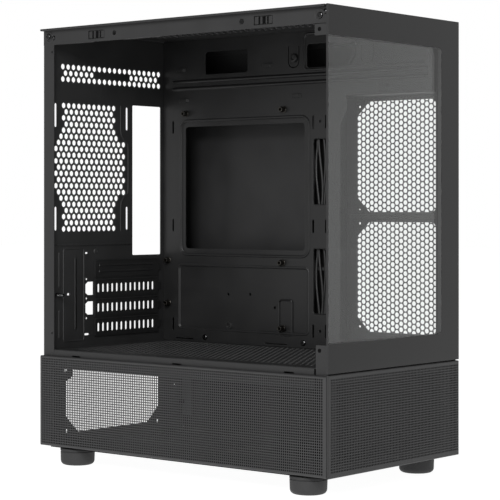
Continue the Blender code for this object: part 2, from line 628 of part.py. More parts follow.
def smooth_route(stations, parts=6):
    """Points along a Catmull-Rom curve through some stations."""
    ends = [stations[0], *stations, stations[-1]]
    ends = [Vector(station) for station in ends]
    route = []
    for before, start, end, after in zip(ends, ends[1:], ends[2:], ends[3:]):
        for part in range(parts):
            t = part / parts
            route.append(0.5 * (2 * start + (end - before) * t
                                + (2 * before - 5 * start + 4 * end - after) * t ** 2
                                + (3 * start - before - 3 * end + after) * t ** 3))
    return route + [ends[-1]]


def leads(rubber, plastic):
    """Three leads behind the tray, the plug on each and the two ties around them."""
    case = bpy.data.objects["case_corner"]
    for name, radius, stations in LEADS:
        curve = bpy.data.curves.new(name, "CURVE")
        curve.dimensions = "3D"
        curve.bevel_depth = radius
        curve.bevel_resolution = 2
        curve.use_fill_caps = True
        route = smooth_route(stations)
        spline = curve.splines.new("POLY")
        spline.points.add(len(route) - 1)
        for point, place in zip(spline.points, route):
            point.co = (*(place - Vector(stations[0])), 1.0)
        curve.materials.append(rubber)
        link(name, curve, stations[0], case)
        end = Vector(stations[-1])
        wide = max(radius, 0.0022)
        plug = box((end.x - wide, end.y - wide, end.z - 0.0145), (end.x + wide, end.y + wide, end.z - GAP))
        piece(name.rsplit("_", 1)[0] + "_plug", plastic, plug)
    for number, z in enumerate((0.2200, 0.1780)):
        band = prism("z", rounded(0.1795, 0.1955, 0.1335, 0.1495, 0.003), z, z + 0.0030)
        gap = prism("z", rounded(0.1802, 0.1948, 0.1342, 0.1488, 0.0025), z - 0.001, z + 0.004)
        piece("cable_tie_{}".format(number + 1), plastic, band, (), [gap])


def build():
    clear_scene()
    corner = bpy.data.objects.new("case_corner", None)
    bpy.context.scene.collection.objects.link(corner)
    corner.location = (-WIDTH / 2, -DEPTH / 2, FOOT_HEIGHT)

    steel = finish("painted_steel", (0.030, 0.030, 0.031), 0.55)
    inner_steel = finish("inner_steel", (0.018, 0.018, 0.019), 0.50)
    perforated = finish("perforated_steel", (0.042, 0.042, 0.043), 0.55)
    bright = finish("plated_steel", (0.10, 0.10, 0.10), 0.35, 1.0)
    brass = finish("brass", (0.30, 0.26, 0.18), 0.4, 1.0)
    glass = finish("tinted_glass", (0.05, 0.05, 0.055), 0.05, 0.0, 0.35)
    rubber = finish("black_rubber", (0.035, 0.035, 0.035), 0.7)
    plastic = finish("black_plastic", (0.02, 0.02, 0.02), 0.5)
    button = finish("satin_button", (0.05, 0.05, 0.05), 0.35)
    board = finish("circuit_board", (0.01, 0.05, 0.03), 0.5)

    bottom_pan(steel)
    rear_panel(steel)
    top_panel(steel)
    front_frame(steel)
    motherboard_tray(inner_steel)
    psu_shroud(steel)
    side_fan_bracket(inner_steel)
    ssd_bracket(inner_steel)
    slot_parts(inner_steel, bright)
    right_side_panel(steel)
    right_panel_screws(bright)
    front_glass(glass)
    front_glass_carrier(inner_steel)
    front_lower_grille(perforated)
    left_lower_grille(perforated)
    dust_filters(plastic)
    feet(rubber)
    standoffs(brass)
    chassis_screws(bright)
    panel_catches(plastic)
    top_controls(plastic, board, bright, button)
    leads(rubber, plastic)


build()
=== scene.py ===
import json
from math import cos, pi, radians, sin

import bmesh
import bpy
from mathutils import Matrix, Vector
from mathutils.geometry import delaunay_2d_cdt


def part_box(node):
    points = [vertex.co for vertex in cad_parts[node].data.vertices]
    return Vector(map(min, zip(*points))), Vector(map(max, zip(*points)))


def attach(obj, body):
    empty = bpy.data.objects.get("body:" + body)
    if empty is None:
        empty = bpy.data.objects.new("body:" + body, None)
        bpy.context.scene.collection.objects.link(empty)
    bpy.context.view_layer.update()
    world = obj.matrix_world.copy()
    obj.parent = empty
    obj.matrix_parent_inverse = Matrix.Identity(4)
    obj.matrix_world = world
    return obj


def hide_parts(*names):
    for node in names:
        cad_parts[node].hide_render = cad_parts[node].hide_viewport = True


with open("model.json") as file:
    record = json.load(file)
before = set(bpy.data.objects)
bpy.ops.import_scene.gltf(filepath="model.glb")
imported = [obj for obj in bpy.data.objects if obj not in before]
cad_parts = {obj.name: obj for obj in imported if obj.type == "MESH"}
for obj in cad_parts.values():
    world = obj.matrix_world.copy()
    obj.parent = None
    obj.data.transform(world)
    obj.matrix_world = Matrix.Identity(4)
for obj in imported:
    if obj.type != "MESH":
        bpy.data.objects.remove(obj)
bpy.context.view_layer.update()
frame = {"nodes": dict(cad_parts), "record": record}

BODY_OF = {node: body for body, nodes in frame["record"]["behaviour"]["bodies"].items() for node in nodes}
SLOT_OF = {part["node"]: part["material_slot"] for part in frame["record"]["subparts"]}

# The case's own corner. X runs from the open side, Y from the face of the front glass
# and Z from the underside of the floor; every place below is measured from it, in metres.
CASE_HEIGHT = 0.4219
CORNER = Vector((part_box("top_panel")[0][0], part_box("front_glass")[0][1],
                 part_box("top_panel")[1][2] - CASE_HEIGHT))


def case_box(node):
    """Lowest and highest corner of a CAD node, measured from the case's corner."""
    low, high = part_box(node)
    return Vector(low) - CORNER, Vector(high) - CORNER


# ---------------------------------------------------------------- camera, light and floor

CAMERA_PLACE = (-1.2722, -0.9549, 0.2414)     # from the case's corner
CAMERA_HEADING = 50.216                       # degrees from +Y towards +X
CAMERA_LENS = 129.6
CAMERA_SHIFT = (0.0263, -0.0848)


def add_camera():
    """The photograph's level view of the open side and the front."""
    camera = bpy.data.objects.new("camera", bpy.data.cameras.new("camera"))
    bpy.context.scene.collection.objects.link(camera)
    camera.location = CORNER + Vector(CAMERA_PLACE)
    camera.rotation_euler = (pi / 2, 0, -radians(CAMERA_HEADING))
    camera.data.sensor_width = 36
    camera.data.lens = CAMERA_LENS
    camera.data.shift_x, camera.data.shift_y = CAMERA_SHIFT
    bpy.context.scene.camera = camera


def add_softbox(name, place, target, size, power):
    """A square soft light aimed at a point."""
    light = bpy.data.lights.new(name, "AREA")
    light.shape = "SQUARE"
    light.size = size
    light.energy = power
    lamp = bpy.data.objects.new(name, light)
    bpy.context.scene.collection.objects.link(lamp)
    lamp.location = place
    lamp.rotation_euler = (Vector(target) - Vector(place)).to_track_quat("-Z", "Y").to_euler()


def add_studio():
    """White surroundings that dim overhead and to the left, two soft lights and a white floor."""
    scene = bpy.context.scene
    scene.view_settings.view_transform = "Standard"
    world = bpy.data.worlds.new("white surroundings")
    world.use_nodes = True
    tree = world.node_tree
    backdrop = tree.nodes["Background"]
    backdrop.inputs["Color"].default_value = (1, 1, 1, 1)
    outlook = tree.nodes.new("ShaderNodeTexCoord")
    direction = tree.nodes.new("ShaderNodeSeparateXYZ")
    tree.links.new(outlook.outputs["Generated"], direction.inputs["Vector"])
    both = tree.nodes.new("ShaderNodeMath")
    both.operation = "MULTIPLY"
    dim_overhead, dim_left = (0.12, 0.5, 1.0, 0.12), (-0.35, 0.15, 0.60, 1.0)
    for number, (side, span) in enumerate((("Z", dim_overhead), ("X", dim_left))):
        dimming = tree.nodes.new("ShaderNodeMapRange")
        for key, value in zip(("From Min", "From Max", "To Min", "To Max"), span):
            dimming.inputs[key].default_value = value
        tree.links.new(direction.outputs[side], dimming.inputs["Value"])
        tree.links.new(dimming.outputs["Result"], both.inputs[number])
    tree.links.new(both.outputs["Value"], backdrop.inputs["Strength"])
    scene.world = world
    add_softbox("key light", (-1.7, -0.7, 1.15), (0, 0, 0.2), 0.8, 34)
    add_softbox("front light", (0.5, -2.2, 1.0), (0, 0, 0.2), 1.2, 5)

    mesh = bpy.data.meshes.new("floor")
    reach = 8.0
    mesh.from_pydata([(-reach, -reach, 0), (reach, -reach, 0), (reach, reach, 0), (-reach, reach, 0)],
                     [], [(0, 1, 2, 3)])
    floor = bpy.data.objects.new("floor", mesh)
    scene.collection.objects.link(floor)
    paper = bpy.data.materials.new("white floor")
    paper.use_nodes = True
    shader = paper.node_tree.nodes["Principled BSDF"]
    shader.inputs["Base Color"].default_value = (0.2, 0.2, 0.2, 1)
    shader.inputs["Roughness"].default_value = 0.9
    shader.inputs["Specular IOR Level"].default_value = 0.0
    shader.inputs["Emission Color"].default_value = (1, 1, 1, 1)
    shader.inputs["Emission Strength"].default_value = 0.97
    mesh.materials.append(paper)


# ---------------------------------------------------------------- materials

def add_node(surface, kind, **settings):
    """A node with some of its settings and inputs filled in."""
    node = surface.node_tree.nodes.new(kind)
    for key, value in settings.items():
        if hasattr(node, key):
            setattr(node, key, value)
        else:
            node.inputs[key.replace("_", " ")].default_value = value
    return node


def noise(surface, scale, detail=2.0, stretch=None):
    """Noise laid out in metres on the object, optionally stretched along its axes."""
    links = surface.node_tree.links
    place = add_node(surface, "ShaderNodeTexCoord").outputs["Object"]
    if stretch:
        mapping = add_node(surface, "ShaderNodeMapping", Scale=stretch)
        links.new(place, mapping.inputs["Vector"])
        place = mapping.outputs["Vector"]
    texture = add_node(surface, "ShaderNodeTexNoise", Scale=scale, Detail=detail)
    links.new(place, texture.inputs["Vector"])
    return texture.outputs["Fac"]


def spread(surface, source, low, high):
    """A pattern's middle range stretched between two numbers."""
    remap = add_node(surface, "ShaderNodeMapRange")
    remap.inputs["From Min"].default_value = 0.3
    remap.inputs["From Max"].default_value = 0.7
    remap.inputs["To Min"].default_value = low
    remap.inputs["To Max"].default_value = high
    surface.node_tree.links.new(source, remap.inputs["Value"])
    return remap.outputs["Result"]


def coated(name, dark, light, rough, grain=2400.0, relief=0.10, depth=0.00012, metallic=0.0, specular=0.5,
           patch=28.0, stretch=None):
    """A finish whose colour and roughness drift slowly, with a fine grain in its surface."""
    surface = bpy.data.materials.new(name)
    surface.use_nodes = True
    links = surface.node_tree.links
    shader = surface.node_tree.nodes["Principled BSDF"]
    shader.inputs["Metallic"].default_value = metallic
    shader.inputs["Specular IOR Level"].default_value = specular
    fine = noise(surface, grain, 3.0, stretch)
    broad = noise(surface, patch, 4.0)

    tone = add_node(surface, "ShaderNodeMix", data_type="RGBA")
    tone.inputs["A"].default_value = (*dark, 1)
    tone.inputs["B"].default_value = (*light, 1)
    blend = add_node(surface, "ShaderNodeMath", operation="MULTIPLY_ADD")
    links.new(spread(surface, fine, 0.0, 0.5), blend.inputs[0])
    blend.inputs[1].default_value = 1.0
    links.new(spread(surface, broad, 0.0, 0.5), blend.inputs[2])
    links.new(blend.outputs["Value"], tone.inputs["Factor"])
    links.new(tone.outputs["Result"], shader.inputs["Base Color"])

    links.new(spread(surface, broad, rough[0], rough[1]), shader.inputs["Roughness"])
    bump = add_node(surface, "ShaderNodeBump", Strength=relief, Distance=depth)
    links.new(fine, bump.inputs["Height"])
    links.new(bump.outputs["Normal"], shader.inputs["Normal"])
    return surface


def add_edge_wear_and_highlight(surface, worn_and_lit_tone, radius=0.0005, amount=0.5):
    """Lighten a finish along its sharp edges: partly edge wear, where the coat is thinner and rubbed, and
    partly a painted edge highlight.
    """
    links = surface.node_tree.links
    shader = surface.node_tree.nodes["Principled BSDF"]
    rounded_normal = add_node(surface, "ShaderNodeBevel", samples=4)
    rounded_normal.inputs["Radius"].default_value = radius
    true_normal = add_node(surface, "ShaderNodeNewGeometry").outputs["True Normal"]
    turn = add_node(surface, "ShaderNodeVectorMath", operation="DOT_PRODUCT")
    links.new(rounded_normal.outputs["Normal"], turn.inputs[0])
    links.new(true_normal, turn.inputs[1])
    edge = add_node(surface, "ShaderNodeMapRange")
    for key, value in (("From Min", 0.995), ("From Max", 0.80), ("To Min", 0.0), ("To Max", amount)):
        edge.inputs[key].default_value = value
    links.new(turn.outputs["Value"], edge.inputs["Value"])
    patchy = add_node(surface, "ShaderNodeMath", operation="MULTIPLY")
    links.new(edge.outputs["Result"], patchy.inputs[0])
    links.new(spread(surface, noise(surface, 160.0), 0.35, 1.0), patchy.inputs[1])
    worn_and_lit = add_node(surface, "ShaderNodeMix", data_type="RGBA")
    worn_and_lit.inputs["B"].default_value = (*worn_and_lit_tone, 1)
    links.new(patchy.outputs["Value"], worn_and_lit.inputs["Factor"])
    coat = shader.inputs["Base Color"].links[0].from_socket
    links.new(coat, worn_and_lit.inputs["A"])
    links.new(worn_and_lit.outputs["Result"], shader.inputs["Base Color"])
    return surface


def clear_glass():
    """Thin clear glass: what is behind shows through, and the surroundings mirror in it."""
    surface = bpy.data.materials.new("clear_glass")
    surface.use_nodes = True
    tree = surface.node_tree
    tree.nodes.remove(tree.nodes["Principled BSDF"])
    facing = add_node(surface, "ShaderNodeLayerWeight", Blend=0.5).outputs["Facing"]
    steep = add_node(surface, "ShaderNodeMath", operation="POWER")
    steep.inputs[1].default_value = 4.0
    tree.links.new(facing, steep.inputs[0])
    share = add_node(surface, "ShaderNodeMath", operation="MULTIPLY_ADD")
    share.inputs[1].default_value = 0.96
    share.inputs[2].default_value = 0.020
    tree.links.new(steep.outputs["Value"], share.inputs[0])
    through = add_node(surface, "ShaderNodeBsdfTransparent")
    through.inputs["Color"].default_value = (0.93, 0.94, 0.935, 1)
    mirror = add_node(surface, "ShaderNodeBsdfGlossy")
    mirror.inputs["Color"].default_value = (1, 1, 1, 1)
    smear = spread(surface, noise(surface, 9.0), 0.004, 0.03)
    tree.links.new(smear, mirror.inputs["Roughness"])
    mix = add_node(surface, "ShaderNodeMixShader")
    tree.links.new(share.outputs["Value"], mix.inputs["Fac"])
    tree.links.new(through.outputs["BSDF"], mix.inputs[1])
    tree.links.new(mirror.outputs["BSDF"], mix.inputs[2])
    tree.links.new(mix.outputs["Shader"], tree.nodes["Material Output"].inputs["Surface"])
    return surface


def make_surfaces():
    """Every finish, under the name of the record's material slot or of its use."""
    grey = lambda value: (value, value, value * 1.02)
    outer = coated("painted_steel", grey(0.015), grey(0.022), (0.40, 0.54), specular=0.40)
    inner = coated("inner_steel", grey(0.009), grey(0.014), (0.33, 0.45), specular=0.40)
    return {
        # Sharp edges of both coats are lightened: edge wear and a painted edge highlight.
        "painted_steel": add_edge_wear_and_highlight(outer, grey(0.06)),
        "inner_steel": add_edge_wear_and_highlight(inner, grey(0.05)),
        "perforated_steel": coated("perforated_steel", grey(0.027), grey(0.037), (0.42, 0.55),
                                   specular=0.46),
        # A darker copy of the perforated steel for the front panel: painted shade, because the front faces
        # catch more of the surroundings' light.
        "perforated_front_painted_shade": coated("perforated_front_painted_shade", grey(0.020), grey(0.028), (0.42, 0.55),
                                   specular=0.34),
        # Near-black painted shade, laid on faces and sheets that stand in deep shade.
        "painted_shade_black": coated("painted_shade_black", grey(0.0012), grey(0.0025), (0.6, 0.8), specular=0.08),
        "ground_edge": coated("ground_edge", grey(0.016), grey(0.026), (0.34, 0.5), 1500.0, 0.15,
                              specular=0.3),
        "tinted_glass": clear_glass(),
        "black_rubber": coated("black_rubber", grey(0.019), grey(0.029), (0.62, 0.78), 900.0, 0.3, 0.0002),
        "black_plastic": coated("black_plastic", grey(0.010), grey(0.016), (0.38, 0.52), 1500.0, 0.12),
        "satin_button": coated("satin_button", grey(0.03), grey(0.045), (0.24, 0.34), 1800.0, 0.06),
        "circuit_board": coated("circuit_board", (0.003, 0.02, 0.010), (0.006, 0.035, 0.018),
                                (0.25, 0.4), 500.0, 0.1),
        "standoff_metal": coated("standoff_metal", (0.045, 0.042, 0.038), (0.07, 0.066, 0.06), (0.26, 0.4),
                                 1200.0, 0.1, metallic=1.0),
        "plated_steel": coated("plated_steel", grey(0.035), grey(0.07), (0.12, 0.22), 900.0, 0.12,
                               metallic=1.0, stretch=(1, 1, 5)),
        "printed_border": coated("printed_border", grey(0.003), grey(0.005), (0.03, 0.07), 1200.0, 0.01,
                                 specular=0.27),
        "filter_mesh": coated("filter_mesh", grey(0.010), grey(0.018), (0.55, 0.7), 3000.0, 0.2),
    }


# ---------------------------------------------------------------- outlines and shapes

def circle(across, up, radius, sides=12, turn=0.0):
    """Points around a circle in a plane."""
    step = 2 * pi / sides
    return [(across + radius * cos(turn + i * step), up + radius * sin(turn + i * step))
            for i in range(sides)]


def rectangle(left, right, bottom, top):
    """Corners of a rectangle in a plane."""
    return [(left, bottom), (right, bottom), (right, top), (left, top)]


def rounded(left, right, bottom, top, radius, steps=4):
    """A rectangle with round corners."""
    middles = ((right - radius, bottom + radius, -1), (right - radius, top - radius, 0),
               (left + radius, top - radius, 1), (left + radius, bottom + radius, 2))
    outline = []
    for across, up, quarter in middles:
        for step in range(steps + 1):
            angle = (quarter + step / steps) * pi / 2
            outline.append((across + radius * cos(angle), up + radius * sin(angle)))
    return outline


def slot_outline(left, right, bottom, top, steps=4):
    """A slot with half-round ends, along its longer side."""
    return rounded(left, right, bottom, top, min(right - left, top - bottom) / 2 * 0.999, steps)


def hexagon(across, up, width, upright=True):
    """A hexagon with eased corners, measured across its flats."""
    turn = pi / 2 if upright else 0.0
    reach = width / 2 / cos(pi / 6)
    corners = circle(across, up, reach, 6, turn)
    ease = 0.22
    outline = []
    for i, corner in enumerate(corners):
        for other in (corners[i - 1], corners[(i + 1) % 6]):
            outline.append((corner[0] + (other[0] - corner[0]) * ease,
                            corner[1] + (other[1] - corner[1]) * ease))
    return outline


def at(axis, pair, along):
    """A point from its two coordinates in a plane and its place along the plane's axis."""
    point = list(pair)
    point.insert("xyz".index(axis), along)
    return tuple(point)


def loft(axis, rings, closed=False):
    """Equal rings of points joined one to the next; closed joins the last to the first."""
    count = len(rings[0][0])
    corners = [at(axis, pair, along) for outline, along in rings for pair in outline]
    faces = []
    spans = len(rings) if closed else len(rings) - 1
    for ring in range(spans):
        here, there = ring * count, (ring + 1) % len(rings) * count
        faces += [(here + i, here + (i + 1) % count, there + (i + 1) % count, there + i)
                  for i in range(count)]
    if not closed:
        faces += [tuple(reversed(range(count))), tuple(range(count * (len(rings) - 1), count * len(rings)))]
    return corners, faces


def prism(axis, outline, start, end):
    """An outline pulled along an axis."""
    return loft(axis, [(outline, start), (outline, end)])


def block(low, high):
    """A box between two opposite corners."""
    return prism("z", rectangle(low[0], high[0], low[1], high[1]), low[2], high[2])


def turned(axis, centre, profile, sides=24):
    """A round part: its profile lists (radius, place along the axis)."""
    return loft(axis, [(circle(*centre, radius, sides), along) for radius, along in profile])


def inset(span, step):
    """A rectangle drawn in by a step on every side."""
    left, right, bottom, top = span
    return left + step, right - step, bottom + step, top - step


def stepped(span, radius, width, base, height, profile, least):
    """Round-cornered rings drawn in across a width and raised over a height, by shares of both."""
    rings = []
    for across, share in profile:
        step = width * across
        rings.append((rounded(*inset(span, step), max(radius - step, least)), base + height * share))
    return rings


def pressed(axis, span, radius, base, height, slope):
    """A raised panel with sloping sides, as pressed into sheet."""
    profile = ((0, 0.0), (0.25, 0.12), (0.75, 0.88), (1.0, 1.0))
    return loft(axis, stepped(span, radius, slope, base, height, profile, 0.0004))


def ridge(axis, span, radius, width, base, height):
    """A raised rib that runs round a rectangle; span is its outer edge."""
    profile = ((0, 0.0), (0.10, 0.45), (0.28, 0.9), (0.5, 1.0), (0.72, 0.9), (0.90, 0.45), (1.0, 0.0))
    return loft(axis, stepped(span, radius, width, base, height, profile, 0.0006), closed=True)


def punched(axis, outline, holes, start, end):
    """A flat sheet between two planes, with holes through it."""
    loops = [outline, *holes]
    points, rings = [], []
    for loop in loops:
        rings.append(list(range(len(points), len(points) + len(loop))))
        points += [Vector(pair) for pair in loop]
    flat, _, faces, _, _, owners = delaunay_2d_cdt(points, [], rings, 1, 1e-7)
    solid = [face for face, owner in zip(faces, owners) if list(owner) == [0]]
    count = len(flat)
    corners = [at(axis, tuple(pair), start) for pair in flat] + [at(axis, tuple(pair), end) for pair in flat]
    rims = {}
    for face in solid:
        for a, b in zip(face, (*face[1:], face[0])):
            if rims.pop((b, a), None) is None:
                rims[(a, b)] = True
    sides = [(b, a, count + a, count + b) for a, b in rims]
    sheet = [tuple(face) for face in solid] + [tuple(count + i for i in reversed(face)) for face in solid]
    return corners, sheet + sides


def square_holes(axis, span, firsts, counts, pitch, hole, start, end):
    """A sheet with a regular field of square holes, built as one grid."""
    left, right, bottom, top = span

    def lines(low, high, first, count):
        marks = [low]
        for i in range(count):
            marks += [first + i * pitch - hole / 2, first + i * pitch + hole / 2]
        return marks + [high]

    across, up = lines(left, right, firsts[0], counts[0]), lines(bottom, top, firsts[1], counts[1])
    wide = len(across)
    layer = wide * len(up)
    corners = [at(axis, (a, u), along) for along in (start, end) for u in up for a in across]
    rims, faces = {}, []
    for row in range(len(up) - 1):
        for column in range(wide - 1):
            if row % 2 and column % 2:
                continue
            i = row * wide + column
            face = (i, i + 1, i + wide + 1, i + wide)
            faces += [face, tuple(layer + j for j in reversed(face))]
            for a, b in zip(face, (*face[1:], face[0])):
                if rims.pop((b, a), None) is None:
                    rims[(a, b)] = True
    return corners, faces + [(b, a, layer + a, layer + b) for a, b in rims]


def bent_edge(corner, reach, towards, thick=0.0008, radius=0.0014, steps=5):
    """Outline of a sheet's folded edge: corner is where both outer faces would meet.

    reach holds how far the two legs run, and towards the two signs they run in.
    """
    (x, z), (along_x, along_z), (way_x, way_z) = corner, reach, towards
    outer, inner = [], []
    for step in range(steps + 1):
        angle = pi + step / steps * pi / 2
        outer.append((radius + radius * cos(angle), radius + radius * sin(angle)))
        inner.append((radius + (radius - thick) * cos(angle), radius + (radius - thick) * sin(angle)))
    loop = [(0, along_z), *outer, (along_x, 0), (along_x, thick), *reversed(inner), (thick, along_z)]
    return [(x + way_x * a, z + way_z * b) for a, b in loop]


def tube(route, radius, sides=12):
    """A round bar along a route of points."""
    places = [Vector(place) for place in route]
    corners, faces = [], []
    side = Vector((0, 1, 0))
    for i, place in enumerate(places):
        ahead = (places[min(i + 1, len(places) - 1)] - places[max(i - 1, 0)]).normalized()
        side = (side - ahead * side.dot(ahead)).normalized()
        other = ahead.cross(side)
        corners += [tuple(place + (side * cos(j * 2 * pi / sides) + other * sin(j * 2 * pi / sides)) * radius)
                    for j in range(sides)]
    for i in range(len(places) - 1):
        faces += [(i * sides + j, i * sides + (j + 1) % sides, (i + 1) * sides + (j + 1) % sides,
                   (i + 1) * sides + j) for j in range(sides)]
    return corners, faces + [tuple(reversed(range(sides))),
                             tuple(range(len(corners) - sides, len(corners)))]


# ---------------------------------------------------------------- pieces

SURFACES = make_surfaces()


def add_piece(name, shapes, nodes, surface=None, body=None, bevel=0.0, smooth=0.0):
    """One piece of the case, which stands for some CAD nodes and rides on their body."""
    mesh = bpy.data.meshes.new(name)
    solid = bmesh.new()
    for corners, faces in shapes:
        points = [solid.verts.new(corner) for corner in corners]
        for face in faces:
            solid.faces.new([points[i] for i in face])
    bmesh.ops.recalc_face_normals(solid, faces=solid.faces)
    solid.to_mesh(mesh)
    solid.free()
    piece = bpy.data.objects.new(name, mesh)
    bpy.context.scene.collection.objects.link(piece)
    piece.location = CORNER
    slot = surface or SLOT_OF[nodes[0]]
    mesh.materials.append(SURFACES[slot])
    if smooth:
        mesh.shade_smooth()
        mesh.set_sharp_from_angle(angle=radians(smooth))
    if bevel:
        ease = piece.modifiers.new("eased edges", "BEVEL")
        ease.width = bevel
        ease.segments = 2
        ease.limit_method = "ANGLE"
        ease.angle_limit = radians(40)
    if nodes:
        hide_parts(*nodes)
    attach(piece, body or BODY_OF[nodes[0]])
    return piece


def shade(piece, direction):
    """Paint the faces turned a certain way near-black: painted shade for the hollow behind them."""
    piece.data.materials.append(SURFACES["painted_shade_black"])
    for face in piece.data.polygons:
        if face.normal.dot(Vector(direction)) > 0.9:
            face.material_index = 1


def dress_cad_nodes():
    """Give every CAD node the scene's finish for its slot, but the floor pan near-black painted shade."""
    for name, node in frame["nodes"].items():
        for place in node.material_slots:
            # The floor pan gets near-black painted shade, for the dark chamber under the shelf.
            place.material = SURFACES["painted_shade_black" if name == "bottom_pan" else SLOT_OF[name]]


# Planes that several pieces share.
WIDTH = 0.213                 # of the whole case
SHEET = 0.001
SIDE = 0.005                  # the chassis's side walls lie this far inside the outer sides
REAR_Y = 0.3534               # inner face of the rear sheet
TRAY_X = 0.1745               # face of the motherboard tray
SHELF_Z = 0.0985              # top of the cover over the power supply
RAIL_Z = 0.4055               # bottom edge of the upper side rails
RIM_Z = 0.4198                # underside of the top sheet's folded edge
ROUND = 0.0010                # outer radius of a folded edge
FINE_EDGE = 0.00018           # easing of a punched edge
CATCH_Y = {"front": 0.0775, "rear": 0.2893}   # middles of the snap sockets in the upper rail
CATCH_Z = 0.4125
RAIL_PINS = ((0.0064, 0.4158), (0.3497, 0.4126))       # middles of the small pins beside the rail screws


# ---------------------------------------------------------------- rear wall

FAN_PITCH, FAN_ROW = 0.00735, 0.00629
VENT_HOLE = 0.0055
SLOT_PITCH, TOP_SLOT_Z = 0.02032, 0.1782
POST_END, POST_TOP = 0.3631, 0.4056     # rear and upper edges of the corner post
WALL_FOOT, WALL_HEAD = 0.0143, 0.4052   # ends of the rear wall's side folds
PORT_OPENING = (0.1257, 0.1702, 0.1911, 0.3499)
SUPPLY_OPENING = ((0.026, 0.0293), (0.044, 0.0115), (0.149, 0.0115), (0.1672, 0.0276), (0.1672, 0.079),
                  (0.158, 0.088), (0.036, 0.088), (0.036, 0.0685), (0.026, 0.0641))
SUPPLY_SCREWS = ((0.0267, 0.0753), (0.0281, 0.0138), (0.1653, 0.0115))
COVER_SCREW_X, COVER_SCREWS_Z = 0.202, (0.030, 0.395)     # holes for the right cover's thumbscrews
FAN_MIDDLE = 0.2827


def fan_holes():
    """The fan grille: staggered rows, narrower beside the fan's four screw slots."""
    holes = []
    for row in range(21):
        z = 0.3454 - row * FAN_ROW
        from_end = min(row, 20 - row)
        even = row % 2 == 0
        if from_end < 5:
            first, count = (0.0238, 11) if even else (0.0275, 10)
        elif from_end == 5:
            first, count = 0.0201, 12
        else:
            first, count = (0.0166, 14) if even else (0.0129, 14)
        holes += [hexagon(first + i * FAN_PITCH, z, VENT_HOLE) for i in range(count)]
    return holes


def top_vents():
    """Two full rows of holes above the fan, with a broken row between them."""
    pitch = 0.0076
    holes = [hexagon(0.0227 + i * pitch, z, VENT_HOLE) for z in (0.3849, 0.3723) for i in range(20)]
    broken_row = [first + i * pitch for first in (0.0265, 0.1242) for i in range(6)]
    return holes + [hexagon(x, 0.3785, VENT_HOLE) for x in broken_row]


def slot_heights():
    """Middle heights of the four expansion slots, from the top."""
    return [TOP_SLOT_Z - number * SLOT_PITCH for number in range(4)]


def rear_wall():
    """Rear sheet: vents, fan grille, port opening, slots, power supply opening and posts."""
    low, high = case_box("rear_panel")
    left, right = low.x, high.x
    narrow, wide = 0.0013, 0.0005
    outline = [(left + narrow, 0.0), (right - narrow, 0.0), (right - narrow, WALL_FOOT),
               (right - wide, WALL_FOOT), (right - wide, WALL_HEAD), (right - narrow, WALL_HEAD),
               (right - narrow, high.z),
               (left + narrow, high.z), (left + narrow, WALL_HEAD), (left + wide, WALL_HEAD),
               (left + wide, WALL_FOOT), (left + narrow, WALL_FOOT)]
    shapes = [punched("y", outline, wall_holes(), REAR_Y, REAR_Y + SHEET)]
    post = [(REAR_Y, 0.0015), (POST_END, 0.0015), (POST_END, POST_TOP), (low.y, POST_TOP),
            (low.y, WALL_FOOT), (REAR_Y, WALL_FOOT)]
    screw_holes = [circle(0.3512, z, 0.0012, 10) for z in (0.1148, 0.3983)]
    shapes.append(punched("x", post, screw_holes, left, left + SHEET))
    for foot, head in ((0.3950, 0.4020), (0.1110, 0.1180)):
        shapes.append(block((left + SHEET, 0.3500, foot), (left + 0.003, REAR_Y, head)))
    shapes.append(block((right - SHEET, low.y, WALL_FOOT), (right, REAR_Y + SHEET, WALL_HEAD)))
    shapes += wall_ribs() + fan_clip()
    add_piece("rear_wall", shapes, ["rear_panel"], bevel=FINE_EDGE)


def wall_holes():
    """Every opening of the rear sheet."""
    holes = fan_holes() + top_vents()
    holes += [rounded(*PORT_OPENING, 0.0012, 2), list(SUPPLY_OPENING)]
    for x in (0.0122, 0.1172):
        holes += [slot_outline(x - 0.0016, x + 0.0016, z - 0.0122, z + 0.0122) for z in (0.2302, 0.3352)]
    for number, z in enumerate(slot_heights()):
        holes.append(rounded(0.0705, 0.1610, z - 0.0064, z + 0.0064, 0.0006, 1))
        if number in (1, 2):
            holes.append([(0.0665, z - 0.0068), (0.0665, z + 0.0068), (0.0585, z + 0.0068),
                          (0.0550, z + 0.0045), (0.0550, z - 0.0045), (0.0585, z - 0.0068)])
    holes += [slot_outline(0.0545, 0.0585, 0.1937, 0.1954), slot_outline(0.0533, 0.0603, 0.1097, 0.1117)]
    holes += [circle(0.0566, z, 0.0012, 8) for z in (0.1675, 0.1475, 0.1272)]
    holes += lock_holes()
    holes += [circle(COVER_SCREW_X, z, 0.0021) for z in COVER_SCREWS_Z]
    holes += [circle(*place, 0.0019) for place in SUPPLY_SCREWS]
    return holes + [circle(0.1932, 0.0484, 0.0012, 8)]


def lock_holes():
    """The screw hole and the guide slot that the slot lock shares with the rear sheet."""
    return [circle(0.0135, 0.1526, 0.0022), slot_outline(0.0285, 0.0333, 0.1516, 0.1540)]


def wall_ribs():
    """Ribs, a bead, a strip and a boss pressed into the rear sheet beside the slots."""
    proud = REAR_Y - 0.0007
    spans = ((0.0158, 0.0190, 0.1600, 0.1960), (0.0158, 0.0190, 0.1080, 0.1370),
             (0.0393, 0.0412, 0.1160, 0.1900))
    shapes = [loft("y", [(rounded(*span, 0.0012, 2), REAR_Y + 0.0001),
                         (rounded(*inset(span, 0.0005), 0.0009, 2), proud)]) for span in spans]
    shapes.append(ridge("y", (0.0225, 0.0535, 0.1040, 0.2000), 0.003, 0.0016, REAR_Y + 0.0001, -0.0007))
    shapes.append(block((0.0120, REAR_Y - 0.0012, 0.2028), (0.1210, REAR_Y + 0.0002, 0.2042)))
    boss = [(0.0030, REAR_Y + 0.0001), (0.0026, REAR_Y - 0.0006), (0.0016, REAR_Y - 0.0009),
            (0.0014, REAR_Y - 0.0004)]
    return shapes + [turned("y", (0.0701, 0.1964), boss, 16)]


